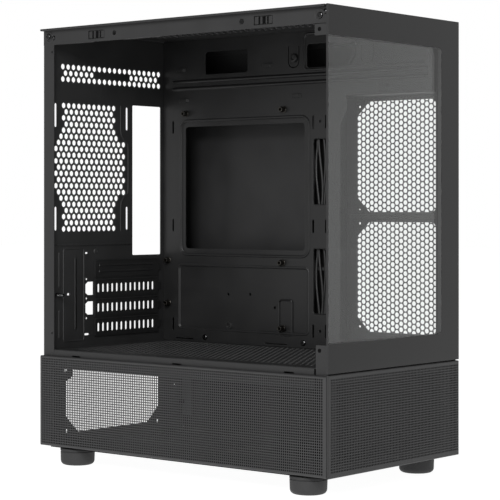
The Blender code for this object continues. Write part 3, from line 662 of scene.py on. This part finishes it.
def fan_clip():
    """A low raised line beside the fan grille, bent away at both ends."""
    radius, sides, straight, half = 0.0007, 8, 0.1190, 0.0200
    bend = [(0.1076, 0.0655), (0.1076, 0.0400), (0.1085, 0.0350), (0.1125, 0.0300), (0.1183, 0.0262),
            (straight, half)]
    shapes = [tube([(x, REAR_Y, FAN_MIDDLE + way * z) for x, z in bend], radius, sides) for way in (1, -1)]
    ends = [(straight, REAR_Y, FAN_MIDDLE - half), (straight, REAR_Y, FAN_MIDDLE + half)]
    return shapes + [tube(ends, radius, sides)]


def slot_covers():
    """One ribbed cover over the first slot and three with upright vents."""
    first, pitch, wide, tall, half, tongue = 0.0729, 0.00693, 0.0015, 0.0045, 0.0091, 0.004
    for number, z in enumerate(slot_heights()):
        node = "slot_cover_{}".format(number + 1)
        low, high = case_box(node)
        middles = [first + i * pitch for i in range(13)] if number else []
        holes = [slot_outline(x - wide, x + wide, z - tall, z + tall) for x in middles]
        neck = high.x - tongue
        outline = [(low.x + 0.0006, z - half), (neck, z - half), (neck, z - tongue), (high.x, z - tongue),
                   (high.x, z + tongue), (neck, z + tongue), (neck, z + half), (low.x + 0.0006, z + half),
                   (low.x, z + 0.0085), (low.x, z - 0.0085)]
        shapes = [punched("y", outline, holes, low.y, high.y)]
        if number == 0:
            for rib in (z + 0.0031, z - 0.0031):
                span = (0.0735, 0.1560, rib - 0.0012, rib + 0.0012)
                shapes.append(loft("y", [(rounded(*span, 0.0011, 2), low.y + 0.0001),
                                         (rounded(*inset(span, 0.0006), 0.0005, 2), low.y - 0.0007)]))
        shapes.append(block((low.x + 0.001, low.y - 0.0006, z + 0.0083),
                            (high.x - 0.006, low.y + 0.0004, z + half)))
        add_piece("cover_of_slot_{}".format(number + 1), shapes, [node], bevel=FINE_EDGE)


def slot_lock():
    """Plate behind the slots that locks the cards, with its rib and a folded grip."""
    low, high = case_box("slot_lock_plate")
    sheet_end = low.y + SHEET
    shapes = [punched("y", rounded(low.x, high.x, low.z, high.z, 0.002), lock_holes(), low.y, sheet_end),
              loft("y", [(slot_outline(0.0390, 0.0412, 0.1150, 0.1880), sheet_end - 0.0002),
                         (slot_outline(0.0394, 0.0408, 0.1156, 0.1874), high.y)]),
              loft("y", [(slot_outline(0.0200, 0.0212, 0.1650, 0.1880), sheet_end - 0.0002),
                         (slot_outline(0.0203, 0.0209, 0.1655, 0.1875), sheet_end + 0.0008)])]
    add_piece("slot_lock_sheet", shapes, ["slot_lock_plate"], bevel=FINE_EDGE)


# ---------------------------------------------------------------- top

def hex_field(left, right, bottom, top, pitch, width):
    """A field of hexagons whose columns run upright, centred in a rectangle."""
    across = pitch * cos(pi / 6)
    columns = int((right - left - width) / across) + 1
    rows = int((top - bottom - width) / pitch) + 1
    start_x = (left + right - (columns - 1) * across) / 2
    start_z = (bottom + top - (rows - 1) * pitch) / 2
    holes = []
    for column in range(columns):
        shift = pitch / 2 if column % 2 else 0.0
        for row in range(rows - (column % 2)):
            middle = (start_x + column * across, start_z + row * pitch + shift)
            holes.append(hexagon(*middle, width, upright=False))
    return holes


CONTROLS_X = 0.1935                          # middle of the row of buttons and ports
RAIL_SCREWS = ((0.0120, 0.4124), (0.3563, 0.4141))


def control_holes():
    """Holes in the top for the two buttons, the audio jack and the two USB ports."""
    round_holes = ((0.0395, 0.0058, 24), (0.0545, 0.0025, 16), (0.0665, 0.0038, 20))
    half_wide, half_long = 0.0033, 0.0071
    holes = [circle(CONTROLS_X, y, radius, sides) for y, radius, sides in round_holes]
    return holes + [rounded(CONTROLS_X - half_wide, CONTROLS_X + half_wide, y - half_long, y + half_long,
                            0.0006, 2) for y in (0.0850, 0.1080)]


def rail_holes():
    """Holes in the open side's rail: snap sockets, round marks, screws and pins."""
    holes = [rounded(y - 0.0110, y + 0.0110, CATCH_Z - 0.0042, CATCH_Z + 0.0042, 0.0004, 1)
             for y in CATCH_Y.values()]
    holes += [circle(0.2649, 0.4128, 0.0025, 16), circle(0.1030, 0.4129, 0.0029, 16)]
    holes += [circle(*place, 0.0016) for place in RAIL_SCREWS]
    return holes + [circle(*place, 0.0026, 16) for place in RAIL_PINS]


def top_sheet():
    """Top: vented sheet with rounded edges, a rail down each side and a rear lip."""
    low, high = case_box("top_panel")
    x_in, x_out = SIDE, WIDTH - SIDE
    holes = hex_field(0.022, 0.151, 0.042, 0.334, 0.0080, 0.0062) + control_holes()
    shapes = [punched("z", rectangle(x_in, x_out, low.y, high.y), holes, high.z - SHEET, high.z)]
    for x, way in ((0.0, 1), (WIDTH, -1)):
        hem = [(ROUND + ROUND * cos(angle), ROUND * sin(angle)) for angle in
               [pi - step * pi / 8 for step in range(5)]]
        outline = [(0.0002, RIM_Z), (0.0, RIM_Z + 0.0002), *[(a, high.z - ROUND + b) for a, b in hem],
                   (SIDE, high.z), (SIDE, RIM_Z)]
        shapes.append(prism("y", [(x + way * a, b) for a, b in outline], low.y, high.y))
    for y in (0.0130, 0.3550):
        z, reach = 0.4134, 0.0057
        shapes.append(ridge("x", (y - reach, y + reach, z - reach, z + reach), reach * 0.999, 0.0016,
                            x_in + 0.0001, -0.0006))
    rail = rectangle(low.y, high.y, RAIL_Z, high.z - SHEET / 2)
    shapes.append(punched("x", rail, rail_holes(), x_in, x_in + SHEET))
    shapes.append(punched("x", rail, [], x_out - SHEET, x_out))
    lip = rectangle(x_in + 0.002, x_out - 0.002, 0.4105, high.z - 0.0005)
    shapes.append(punched("y", lip, [], high.y - SHEET, high.y))
    strip = rounded(0.030, 0.340, high.z - 0.0015, high.z - 0.0009, 0.0002, 1)
    shapes += [prism("x", strip, x, x + 0.0008) for x in (0.0155, 0.1695)]
    for y in (0.0450, 0.1150, 0.2050, 0.2950):
        shapes.append(block((SIDE + SHEET, y, RAIL_Z), (SIDE + 0.0042, y + 0.0500, RAIL_Z + 0.0008)))
    add_piece("top_sheet", shapes, ["top_panel"], bevel=0.00012)


def rail_pins():
    """Domed pins in the ends of the upper rail, each in its own hole."""
    profile = [(0.0019, SIDE + 0.0040), (0.0019, SIDE + 0.0002), (0.0017, SIDE - 0.0003),
               (0.0012, SIDE - 0.0007), (0.0005, SIDE - 0.0009)]
    shapes = [turned("x", place, profile, 20) for place in RAIL_PINS]
    add_piece("rail_pins", shapes, [], surface="plated_steel", body=BODY_OF["top_panel"], smooth=40)


def woven(left, right, front, back, level, pitch, thread):
    """Crossed threads of a fine mesh, one set above the other."""
    shapes = []
    for i in range(int((right - left) / pitch) + 1):
        x = left + i * pitch
        shapes.append(block((x, front, level), (x + thread, back, level + thread)))
    for i in range(int((back - front) / pitch) + 1):
        y = front + i * pitch
        shapes.append(block((left, y, level + thread * 0.7), (right, y + thread, level + thread * 1.7)))
    return shapes


def frame_ring(span, radius, width, low, high):
    """A flat bordering frame with eased edges."""
    rings = []
    for step, level in ((0.0002, low), (0, low + 0.0002), (0, high - 0.0003), (0.0003, high),
                        (width - 0.0002, high), (width, high - 0.0002), (width, low + 0.0002),
                        (width - 0.0002, low)):
        rings.append((rounded(*inset(span, step), max(radius - step, 0.0005)), level))
    return loft("z", rings, closed=True)


def dust_filters():
    """Magnetic mesh sheet on the top and the sliding mesh tray under the floor."""
    low, high = case_box("top_dust_filter")
    span = (low.x, high.x, low.y, high.y)
    border, tucked = 0.0070, 0.001
    shapes = [frame_ring(span, 0.006, border, low.z, high.z)]
    shapes += woven(*inset(span, border - tucked), low.z + 0.0003, 0.0016, 0.00032)
    add_piece("top_filter_mesh", shapes, ["top_dust_filter"], surface="filter_mesh")
    low, high = case_box("bottom_dust_filter")
    span = (low.x, high.x, low.y, 0.3540)
    shapes = [frame_ring(span, 0.003, 0.0060, -0.0037, -0.0015)]
    shapes += [block((0.1040, 0.1550, -0.0035), (0.1070, 0.3490, -0.0017)),
               block((0.0460, 0.2500, -0.0035), (0.1650, 0.2530, -0.0017))]
    shapes += woven(low.x + 0.005, high.x - 0.005, low.y + 0.005, 0.3490, -0.0029, 0.0018, 0.00034)
    pull = rounded(0.0900, 0.1210, low.z, -0.0015, 0.0020)
    shapes.append(prism("y", pull, 0.3530, high.y))
    for i in range(4):
        z = low.z + 0.0016 + i * 0.0014
        shapes.append(prism("y", rounded(0.0950, 0.1160, z, z + 0.0006, 0.0002, 1), high.y - 0.0003, high.y))
    add_piece("floor_filter_mesh", shapes, ["bottom_dust_filter"], surface="filter_mesh")


# ---------------------------------------------------------------- tray and shelf

def recess(axis, span, radius, level, depth, slope, holes=(), thick=0.0008):
    """A panel pressed away from a sheet's face: sloping sides and a flat floor, with holes in it."""
    rings = []
    sunk = level + depth
    for step, along in ((0, level), (slope, sunk), (slope, sunk + thick), (0, level + thick)):
        rings.append((rounded(*inset(span, step), max(radius - step, 0.0005)), along))
    floor = rounded(*inset(span, slope - 0.0001), max(radius - slope, 0.0005))
    return [loft(axis, rings, closed=True), punched(axis, floor, holes, sunk, sunk + thick)]


def lance(y, z, length=0.0140):
    """A small strap pushed out of the tray for a cable tie."""
    rise, front, rear = 0.0028, y - length / 2, y + length / 2
    outline = [(front, 0.0), (front + 0.0025, rise), (rear - 0.0025, rise), (rear, 0.0),
               (rear - 0.0012, 0.0), (rear - 0.0031, rise - 0.0008), (front + 0.0031, rise - 0.0008),
               (front + 0.0012, 0.0)]
    return prism("z", [(TRAY_X - out, along) for along, out in outline], z - 0.0017, z + 0.0017)


def bead(axis, left, right, middle, base, height, half=0.0019):
    """A long low rib with a rounded section and rounded ends."""
    rings = []
    for reach, share in ((1.0, 0.0), (0.82, 0.30), (0.58, 0.66), (0.32, 0.91), (0.08, 1.0)):
        step = half * (1 - reach)
        span = (left + step, right - step, middle - half * reach, middle + half * reach)
        rings.append((rounded(*span, half * reach * 0.99, 3), base + height * share))
    return loft(axis, rings)


def tongue_slit(left, right, bottom, top, width=0.0010):
    """Outline of a slit that runs down, round and up again about a tongue of sheet."""
    soft = (right - left) / 2 * 0.9
    outer = rounded(left, right, bottom, top, soft)
    inner = rounded(left + width, right - width, bottom + width, top, soft - width)
    loop = [(right, top), *reversed(outer[:5]), *reversed(outer[15:]), (left, top)]
    back = [(left + width, top), *inner[15:], *inner[:5], (right - width, top)]
    return [*reversed(loop + back)]


PROCESSOR_WINDOW = (0.1611, 0.3223, 0.1977, 0.3277)
WINDOW_BAND = inset(PROCESSOR_WINDOW, -0.0064)        # recessed border of the processor window
LOWER_FIELD = (0.1560, 0.3310, 0.1125, 0.1800)        # recessed panel under it
CABLE_WINDOWS = ((0.1331, 0.1489, 0.1344, 0.1995), (0.1331, 0.1489, 0.2448, 0.3106))
STRAPS = ((0.328, 0.3887), (0.323, 0.3556), (0.2086, 0.388), (0.171, 0.355), (0.0569, 0.3881),
          (0.0629, 0.3609))


def tray_holes():
    """Every opening of the tray's flat sheet, with those that its recessed panels fill."""
    holes = [rounded(*WINDOW_BAND, 0.009), rounded(*LOWER_FIELD, 0.004)]
    holes += [tongue_slit(0.1672, 0.1818, 0.3838, 0.4060), tongue_slit(0.0745, 0.0900, 0.3838, 0.4060)]
    holes += [rounded(0.2353, 0.2933, 0.3825, 0.4065, 0.003), rounded(0.0960, 0.1575, 0.3830, 0.4070, 0.003)]
    holes += [rounded(*span, 0.002) for span in CABLE_WINDOWS]
    ties = [(y, z) for y in (0.1334, 0.1495, 0.3391) for z in (0.1166, 0.2225, 0.3278)]
    holes += [slot_outline(y - 0.0012, y + 0.0012, z - 0.0068, z + 0.0068) for y, z in ties]
    screws = ((0.1618, 0.1040), (0.2934, 0.1040), (0.1407, 0.3284), (0.1407, 0.1168))
    holes += [circle(*place, 0.0015) for place in screws]
    holes += [slot_outline(*ends, 0.1008, 0.1020) for ends in ((0.1835, 0.2120), (0.3100, 0.3350))]
    return holes


def tray_pressings(face):
    """What is pressed into the tray: recessed panels, long beads, ribs, straps and bosses."""
    board_holes = [circle(y, z, 0.0015) for y, z in ((0.2623, 0.1504), (0.2327, 0.1510), (0.2000, 0.1383))]
    shapes = recess("x", LOWER_FIELD, 0.004, face, 0.0012, 0.0016, board_holes)
    shapes += recess("x", WINDOW_BAND, 0.009, face, 0.0011, 0.0015, [rounded(*PROCESSOR_WINDOW, 0.004)])
    shapes += [bead("x", 0.0100, 0.3400, z, face + 0.0001, -0.0020, 0.0022) for z in (0.3685, 0.3760)]
    ribs = (((0.0090, 0.1620, 0.3795, 0.4190), 0.006, 0.0030, 0.0001, -0.0012),
            (inset(WINDOW_BAND, -0.0016), 0.0106, 0.0030, 0.0001, -0.0013),
            (inset(LOWER_FIELD, -0.0016), 0.0056, 0.0028, 0.0001, -0.0008),
            ((0.1755, 0.1950, 0.1090, 0.1480), 0.0042, 0.0024, 0.0013, -0.0019))
    for span, radius, width, sunk, height in ribs:
        shapes.append(ridge("x", span, radius, width, face + sunk, height))
    shapes += [lance(y, z) for y, z in STRAPS]
    for y, z, level in ((0.261, 0.1175, face + 0.0011), (0.1735, 0.3939, face - 0.0013)):
        boss = [(0.0046, level + 0.0002), (0.0040, level - 0.0012), (0.0026, level - 0.0014),
                (0.0020, level - 0.0002)]
        shapes.append(turned("x", (y, z), boss, 20))
    rim = 0.0010
    return shapes + [ridge("x", inset(span, -rim), 0.0028, rim, face, -0.0006) for span in CABLE_WINDOWS]


def tray_plate():
    """Motherboard tray: a punched sheet with what is pressed into it."""
    low, high = case_box("motherboard_tray")
    front, rear, bottom, top = low.y, high.y, low.z, high.z
    outline = [(0.1158, bottom), (rear, bottom), (rear, top), (front, top), (front, 0.3540),
               (0.1077, 0.3540), (0.1077, 0.3388), (0.1158, 0.3243)]
    sheet = punched("x", outline, tray_holes(), TRAY_X, TRAY_X + SHEET)
    add_piece("tray_plate", [sheet, *tray_pressings(TRAY_X)], ["motherboard_tray"], bevel=0.00014)


def power_supply_shelf():
    """Shelf over the power supply, vented all over, with its outer edge folded down."""
    low, high = case_box("psu_shroud")
    holes = hex_field(0.0200, 0.1700, 0.0260, 0.3400, 0.0064, 0.0048)
    holes.append(rounded(0.1785, 0.2000, 0.200, 0.330, 0.003))
    top = high.z
    shapes = [punched("z", rectangle(SIDE + ROUND, high.x, low.y, high.y), holes, top - SHEET, top)]
    bend = [(SIDE + ROUND - ROUND * sin(angle), top - ROUND + ROUND * cos(angle))
            for angle in (pi / 8, pi / 4, 3 * pi / 8, pi / 2)]
    fold = [(SIDE + ROUND, top), *bend, (SIDE, top - 0.0045), (SIDE + SHEET, top - 0.0045),
            (SIDE + SHEET, top - SHEET)]
    front = low.y + 0.0018
    shapes.append(prism("y", fold, front, high.y))
    middles = (0.0477, 0.1831, 0.3172)
    slots = [rounded(y - 0.0058, y + 0.0058, 0.0900, 0.0935, 0.0004, 1) for y in middles]
    shapes.append(punched("x", rectangle(front, high.y, low.z, top - 0.0044), slots, SIDE, SIDE + SHEET))
    for y in middles:
        pocket = (y - 0.0064, y + 0.0064, 0.0894, 0.0941)
        shapes += recess("x", pocket, 0.0006, SIDE + SHEET - 0.0001, 0.0060, 0.0006)
    shapes.append(block((0.020, high.y - SHEET, top - 0.012), (0.170, high.y, top - SHEET / 2)))
    shelf = add_piece("power_supply_shelf", shapes, ["psu_shroud"], surface="painted_steel", bevel=0.00012)
    # The shelf's underside is painted near-black, as painted shade of the chamber below it.
    shade(shelf, (0, 0, -1))


# ---------------------------------------------------------------- covers

GRILLE_PITCH, GRILLE_HOLE, GRILLE_THICK = 0.0024, 0.00155, 0.0005


def left_grille():
    """Perforated panel beside the power supply, with rounded long edges."""
    low, high = case_box("left_lower_grille")
    bend = 0.0014
    flat = (low.y, high.y, low.z + bend, high.z - bend)
    shapes = [square_holes("x", flat, (low.y + 0.0049, low.z + 0.0034), (148, 36), GRILLE_PITCH, GRILLE_HOLE,
                           0.0, GRILLE_THICK)]
    for z, way in ((low.z, 1), (high.z, -1)):
        shapes.append(prism("y", bent_edge((0.0, z), (high.x, bend), (1, way), GRILLE_THICK), low.y, high.y))
    shapes.append(block((GRILLE_THICK / 2, high.y - GRILLE_THICK, low.z + bend / 2),
                        (high.x, high.y, high.z - bend / 2)))
    add_piece("left_perforated_panel", shapes, ["left_lower_grille"])


def front_grille():
    """Perforated panel below the glass, folded back all round."""
    low, high = case_box("front_lower_grille")
    bend = 0.0012
    flat = (low.x + bend, high.x - bend, low.z + bend, high.z - bend)
    shapes = [square_holes("y", flat, (low.x + 0.0050, low.z + 0.0057), (86, 35), GRILLE_PITCH, GRILLE_HOLE,
                           0.0, GRILLE_THICK)]
    for z, way in ((low.z, 1), (high.z, -1)):
        edge = [(b, a) for a, b in bent_edge((0.0, z), (high.y, bend), (1, way), GRILLE_THICK, bend)]
        shapes.append(prism("x", [(along, up) for up, along in edge], low.x + bend, high.x - bend))
    for x, way, deep in ((low.x, 1, 0.0016), (high.x, -1, 0.0041)):
        edge = bent_edge((x, 0.0), (bend, deep), (way, 1), GRILLE_THICK, bend)
        shapes.append(prism("z", edge, low.z + 0.0003, high.z - 0.0003))
    # The front panel takes the darker copy of the perforated finish, as painted shade.
    add_piece("front_perforated_panel", shapes, ["front_lower_grille"], surface="perforated_front_painted_shade")


def right_cover():
    """Sliding cover of the cable side, perforated beside the two fans."""
    low, high = case_box("right_side_panel")
    bend = 0.0014
    holes = hex_field(0.0125, 0.1290, 0.1040, 0.3535, 0.0059, 0.0048)
    flat = rectangle(low.y, high.y, low.z + bend, high.z - bend)
    shapes = [punched("x", flat, holes, WIDTH - 0.0008, WIDTH)]
    for z, way in ((low.z, 1), (high.z, -1)):
        edge = bent_edge((WIDTH, z), (WIDTH - 0.2085, bend), (-1, way))
        shapes.append(prism("y", edge, low.y, high.y))
    fold_y = REAR_Y + SHEET + 0.0003
    tabs = [circle(COVER_SCREW_X, z, 0.0021) for z in COVER_SCREWS_Z]
    rear_fold = rounded(0.1965, WIDTH - 0.0005, 0.006, 0.4052, 0.001, 2)
    shapes.append(punched("y", rear_fold, tabs, fold_y, fold_y + SHEET))
    add_piece("right_cover_sheet", shapes, ["right_side_panel"], bevel=0.00012)
    # A near-black sheet of painted shade inside the cover's lower part stands for the deep shade seen through
    # the perforated panels.
    hidden = rounded(low.y + 0.002, 0.3450, 0.0040, SHELF_Z - SHEET, 0.003)
    shade_sheet = prism("x", hidden, 0.2112, WIDTH - 0.0007)
    add_piece("right_cover_painted_shade", [shade_sheet], [], surface="painted_shade_black", body=BODY_OF["right_side_panel"])


CLEAR_RIGHT, CLEAR_BOTTOM, CLEAR_TOP = 0.1812, 0.1204, 0.3945     # window in the printed border


def fan_window(low, high):
    """Outline of one fan opening: cut corners towards the rear, round ones towards the front."""
    front, rear, cut, soft = 0.0212, 0.1163, 0.0148, 0.0055
    return [(rear - cut, low), (rear, low + cut), (rear, high - cut), (rear - cut, high),
            *rounded(front, rear, low, high, soft)[10:]]


def fan_pocket():
    """Deep bracket beside the tray with two large fan openings; its front wall stops short of the tray."""
    low, high = case_box("side_fan_bracket")
    holes = [fan_window(0.1166, 0.2269), fan_window(0.2370, 0.3480)]
    holes += [circle(0.1128, z, 0.0013, 10) for z in (0.1215, 0.2255, 0.2400, 0.3430)]
    floor = high.x - SHEET
    shapes = [punched("x", rectangle(low.y, high.y, low.z, high.z), holes, floor, high.x)]
    shapes.append(block((low.x, high.y - SHEET, low.z), (floor, high.y, high.z)))
    shapes.append(block((0.1885, low.y, low.z), (floor, low.y + SHEET, high.z)))
    for z in (low.z, high.z - SHEET):
        shapes.append(block((low.x, low.y + SHEET, z), (floor, high.y - SHEET, z + SHEET)))
    shapes.append(pressed("x", (0.0130, 0.1250, 0.2290, 0.2350), 0.0020, floor + 0.0001, -0.0007, 0.0012))
    add_piece("fan_pocket", shapes, ["side_fan_bracket"], bevel=0.00014)


def front_pane():
    """Glass pane with ground edges: the clear window, and the blackened glass on three sides of it."""
    low, high = case_box("front_glass")
    ground, slant, straight, apart = 0.0005, 0.0026, 0.0020, 0.00005
    clear, black = [], []
    for step, across, along in ((ground, ground, low.y), (0, 0, low.y + ground), (0, 0, low.y + straight),
                                (ground, slant, high.y)):
        left, right, bottom, top = low.x + across, high.x - across, low.z + step, high.z - step
        inner = rounded(0.1700, CLEAR_RIGHT, CLEAR_BOTTOM, CLEAR_TOP, 0.005)[:10]
        black.append(([(left, bottom), (right, bottom), (right, top), (left, top), (left, CLEAR_TOP),
                       *reversed(inner), (left, CLEAR_BOTTOM)], along))
        inner = rounded(0.1700, CLEAR_RIGHT - apart, CLEAR_BOTTOM + apart, CLEAR_TOP - apart, 0.005)[:10]
        clear.append(([(left, CLEAR_BOTTOM + apart), *inner, (left, CLEAR_TOP - apart)], along))
    pane = add_piece("front_pane", [loft("y", clear)], ["front_glass"])
    border = add_piece("printed_glass_border", [loft("y", black)], [], surface="printed_border",
                       body=BODY_OF["front_glass"])
    for piece in (pane, border):
        piece.data.materials.append(SURFACES["ground_edge"])
        for face in piece.data.polygons:
            face.material_index = 0 if abs(face.normal.y) > 0.95 else 1


# ---------------------------------------------------------------- small parts

def feet():
    """Rubber feet with a rounded lower edge, a fine groove and a screw well."""
    for end in ("front", "rear"):
        for side in ("left", "right"):
            node = "foot_{}_{}".format(end, side)
            low, high = case_box(node)
            centre = ((low.x + high.x) / 2, (low.y + high.y) / 2)
            wide = (high.x - low.x) / 2
            soft = 0.0045
            profile = [(0.0030, low.z + 0.0060), (0.0060, low.z + 0.0060), (0.0062, low.z + 0.0005),
                       (0.0070, low.z)]
            profile += [(wide - 0.0004 - soft + soft * sin(a), low.z + soft - soft * cos(a)) for a in
                        [step * pi / 16 for step in range(9)]]
            profile += [(wide - 0.0001, high.z - 0.0036), (wide - 0.0007, high.z - 0.0033),
                        (wide - 0.0007, high.z - 0.0027), (wide, high.z - 0.0024), (wide, high.z - 0.0004),
                        (wide - 0.0004, high.z), (0.0030, high.z)]
            add_piece("rubber_" + node, [turned("z", centre, profile, 48)], [node], smooth=50)


# Slots in a snap socket's face: their place along Y from its middle, their width and their height.
CATCH_SLOTS = ((-0.0007, 0.0040, 0.0074), (-0.0052, 0.0020, 0.0066), (0.0048, 0.0022, 0.0070))


def catches():
    """Plastic snap sockets, whose faces fill the slots in the upper rail."""
    for name, y in CATCH_Y.items():
        node = "panel_catch_" + name
        high = case_box(node)[1]
        z = CATCH_Z
        slots = [rounded(y + shift - wide / 2, y + shift + wide / 2, z - tall / 2, z + tall / 2, 0.0004, 1)
                 for shift, wide, tall in CATCH_SLOTS]
        face = rounded(y - 0.0102, y + 0.0102, z - 0.0035, z + 0.0035, 0.0006, 2)
        body = (y - 0.0130, y + 0.0130, z - 0.0062, z + 0.0060)
        shapes = [punched("x", face, slots, SIDE + 0.0004, SIDE + 0.0022),
                  punched("x", rounded(*body, 0.001, 2), slots, SIDE + 0.0021, high.x - 0.001),
                  prism("x", rounded(*inset(body, 0.001), 0.001, 2), high.x - 0.001, high.x)]
        add_piece("snap_socket_" + name, shapes, [node], bevel=FINE_EDGE)


def cross_screw(node, name, radius):
    """Pan-head screw along X with a cross recess."""
    low, high = case_box(node)
    y, z = (low.y + high.y) / 2, (low.z + high.z) / 2
    arm, half = radius * 0.62, radius * 0.14
    cross = [(half, half), (half, arm), (-half, arm), (-half, half), (-arm, half), (-arm, -half),
             (-half, -half), (-half, -arm), (half, -arm), (half, -half), (arm, -half), (arm, half)]
    turn = radians(35)
    cross = [(y + a * cos(turn) - b * sin(turn), z + a * sin(turn) + b * cos(turn)) for a, b in cross]
    lip = low.x + 0.0008
    seat = low.x + 0.0016
    profile = [(radius * 0.79, low.x + 0.0002), (radius * 0.95, low.x + 0.0005), (radius, low.x + 0.0009),
               (radius, seat), (0.0012, seat), (0.0012, high.x - 0.0004), (0.0008, high.x)]
    shapes = [punched("x", circle(y, z, radius * 0.80, 24), [cross], low.x, lip),
              turned("x", (y, z), profile, 24)]
    add_piece(name, shapes, [node], bevel=0.0001)


def thumbscrew(node, name):
    """Knurled thumbscrew along Y, with a slotted face and a threaded shank."""
    low, high = case_box(node)
    centre = ((low.x + high.x) / 2, (low.z + high.z) / 2)
    seat = high.y - 0.005
    knurl = [(radius, i) for i, radius in enumerate([0.0046, 0.0046, 0.0042, 0.0042] * 18)]
    step = 2 * pi / len(knurl)

    def edge(scale):
        return [(centre[0] + radius * scale * cos(i * step), centre[1] + radius * scale * sin(i * step))
                for radius, i in knurl]

    shapes = [loft("y", [(edge(0.90), seat), (edge(1.0), seat + 0.0005), (edge(1.0), high.y - 0.0007),
                         (edge(0.90), high.y - 0.0002)])]
    slot = rectangle(centre[0] - 0.0032, centre[0] + 0.0032, centre[1] - 0.0006, centre[1] + 0.0006)
    shapes.append(punched("y", circle(*centre, 0.0038, 32), [slot], high.y - 0.0010, high.y))
    thread = []
    turns = int((seat - low.y) / 0.0007)
    for i in range(turns):
        y = low.y + 0.0004 + i * 0.0007
        thread += [(0.00145, y), (0.0017, y + 0.00035)]
    shapes.append(turned("y", centre, [(0.0010, low.y), *thread, (0.0016, seat + 0.0004)], 16))
    add_piece(name, shapes, [node], bevel=0.0)


def standoffs():
    """Hexagonal posts with turned collars and bored ends."""
    for number in range(1, 7):
        node = "standoff_{}".format(number)
        low, high = case_box(node)
        y, z = (low.y + high.y) / 2, (low.z + high.z) / 2
        reach = 0.0029
        bore = circle(y, z, 0.0014, 12)
        hexes = circle(y, z, reach, 6, pi / 2)
        collar = [(0.0034, high.x - 0.0010), (0.0036, high.x - 0.0007), (0.0036, high.x)]
        shapes = [punched("x", hexes, [bore], low.x + 0.0003, high.x - 0.0008),
                  turned("x", (y, z), collar, 20)]
        add_piece("post_{}".format(number), shapes, [node], bevel=0.00025)


def lead_bundle():
    """Five sleeved leads that run upright just behind the tray's two cable windows."""
    shapes = []
    steps = 30
    bottom, top = 0.128, 0.322
    for number in range(5):
        route = []
        for step in range(steps + 1):
            z = bottom + (top - bottom) * step / steps
            turn = 2 * pi * (z - bottom) / 0.110 + number * 1.7
            route.append((0.1796 + 0.0010 * sin(turn), 0.1400 + number * 0.0034 + 0.0024 * cos(turn), z))
        shapes.append(tube(route, 0.0013, 10))
    add_piece("lead_bundle", shapes, [], surface="black_plastic", body=BODY_OF["motherboard_tray"],
              smooth=50)
    # The near-black strip behind the leads is painted shade: it stands for the deep shade in the windows.
    shade_strip = prism("x", rounded(0.1337, 0.1590, bottom, top, 0.002), 0.1824, 0.1830)
    add_piece("cable_window_painted_shade", [shade_strip], [], surface="painted_shade_black", body=BODY_OF["motherboard_tray"])


def tab_holes_painted_shade():
    """Near-black discs of painted shade where the two tabs of the front frame have screw holes, and a thin
    strip of painted shadow in the gap above the upper tab.
    """
    proud = SIDE - 0.0001
    disc = [(0.0019, SIDE + 0.0001), (0.0019, proud)]
    shapes = [turned("x", (0.0130, z), disc, 20) for z in (0.1141, 0.4003)]
    shapes.append(block((proud, 0.0058, 0.4050), (SIDE + 0.0001, 0.0183, 0.4055)))
    add_piece("tab_holes_painted_shade", shapes, [], surface="painted_shade_black", body=BODY_OF["front_frame"])


def buttons():
    """Power and reset buttons with dished tops."""
    for node, name in (("power_button", "power_key_cap"), ("reset_button", "reset_key_cap")):
        low, high = case_box(node)
        centre = ((low.x + high.x) / 2, (low.y + high.y) / 2)
        flange = (high.x - low.x) / 2
        wide = flange - 0.0012
        profile = [(flange * 0.5, low.z), (flange, low.z), (flange, low.z + 0.002), (wide, low.z + 0.002),
                   (wide, high.z - 0.0006), (wide - 0.0002, high.z - 0.0002), (wide - 0.0006, high.z),
                   (wide - 0.0010, high.z), (wide * 0.55, high.z - 0.0003), (wide * 0.15, high.z - 0.00038)]
        add_piece(name, [turned("z", centre, profile, 40)], [node], smooth=40)


def ease_cad_edges():
    """Break the sharp edges of the folded sheets that keep their CAD shape."""
    for node in ("front_frame", "bottom_pan", "ssd_bracket", "front_glass_carrier", "io_housing"):
        ease = frame["nodes"][node].modifiers.new("eased edges", "BEVEL")
        ease.width = 0.0002
        ease.segments = 2
        ease.limit_method = "ANGLE"
        ease.angle_limit = radians(40)


add_camera()
add_studio()
dress_cad_nodes()
ease_cad_edges()
rear_wall()
slot_covers()
slot_lock()
top_sheet()
dust_filters()
tray_plate()
power_supply_shelf()
left_grille()
front_grille()
right_cover()
fan_pocket()
front_pane()
feet()
catches()
for place in ("rail_screw_front", "rail_screw_rear", "tray_screw_front", "tray_screw_rear"):
    cross_screw(place, "cross_head_" + place, 0.0029)
thumbscrew("slot_lock_screw", "lock_thumbscrew")
thumbscrew("right_panel_screw_lower", "lower_thumbscrew")
thumbscrew("right_panel_screw_upper", "upper_thumbscrew")
standoffs()
lead_bundle()
rail_pins()
tab_holes_painted_shade()
buttons()
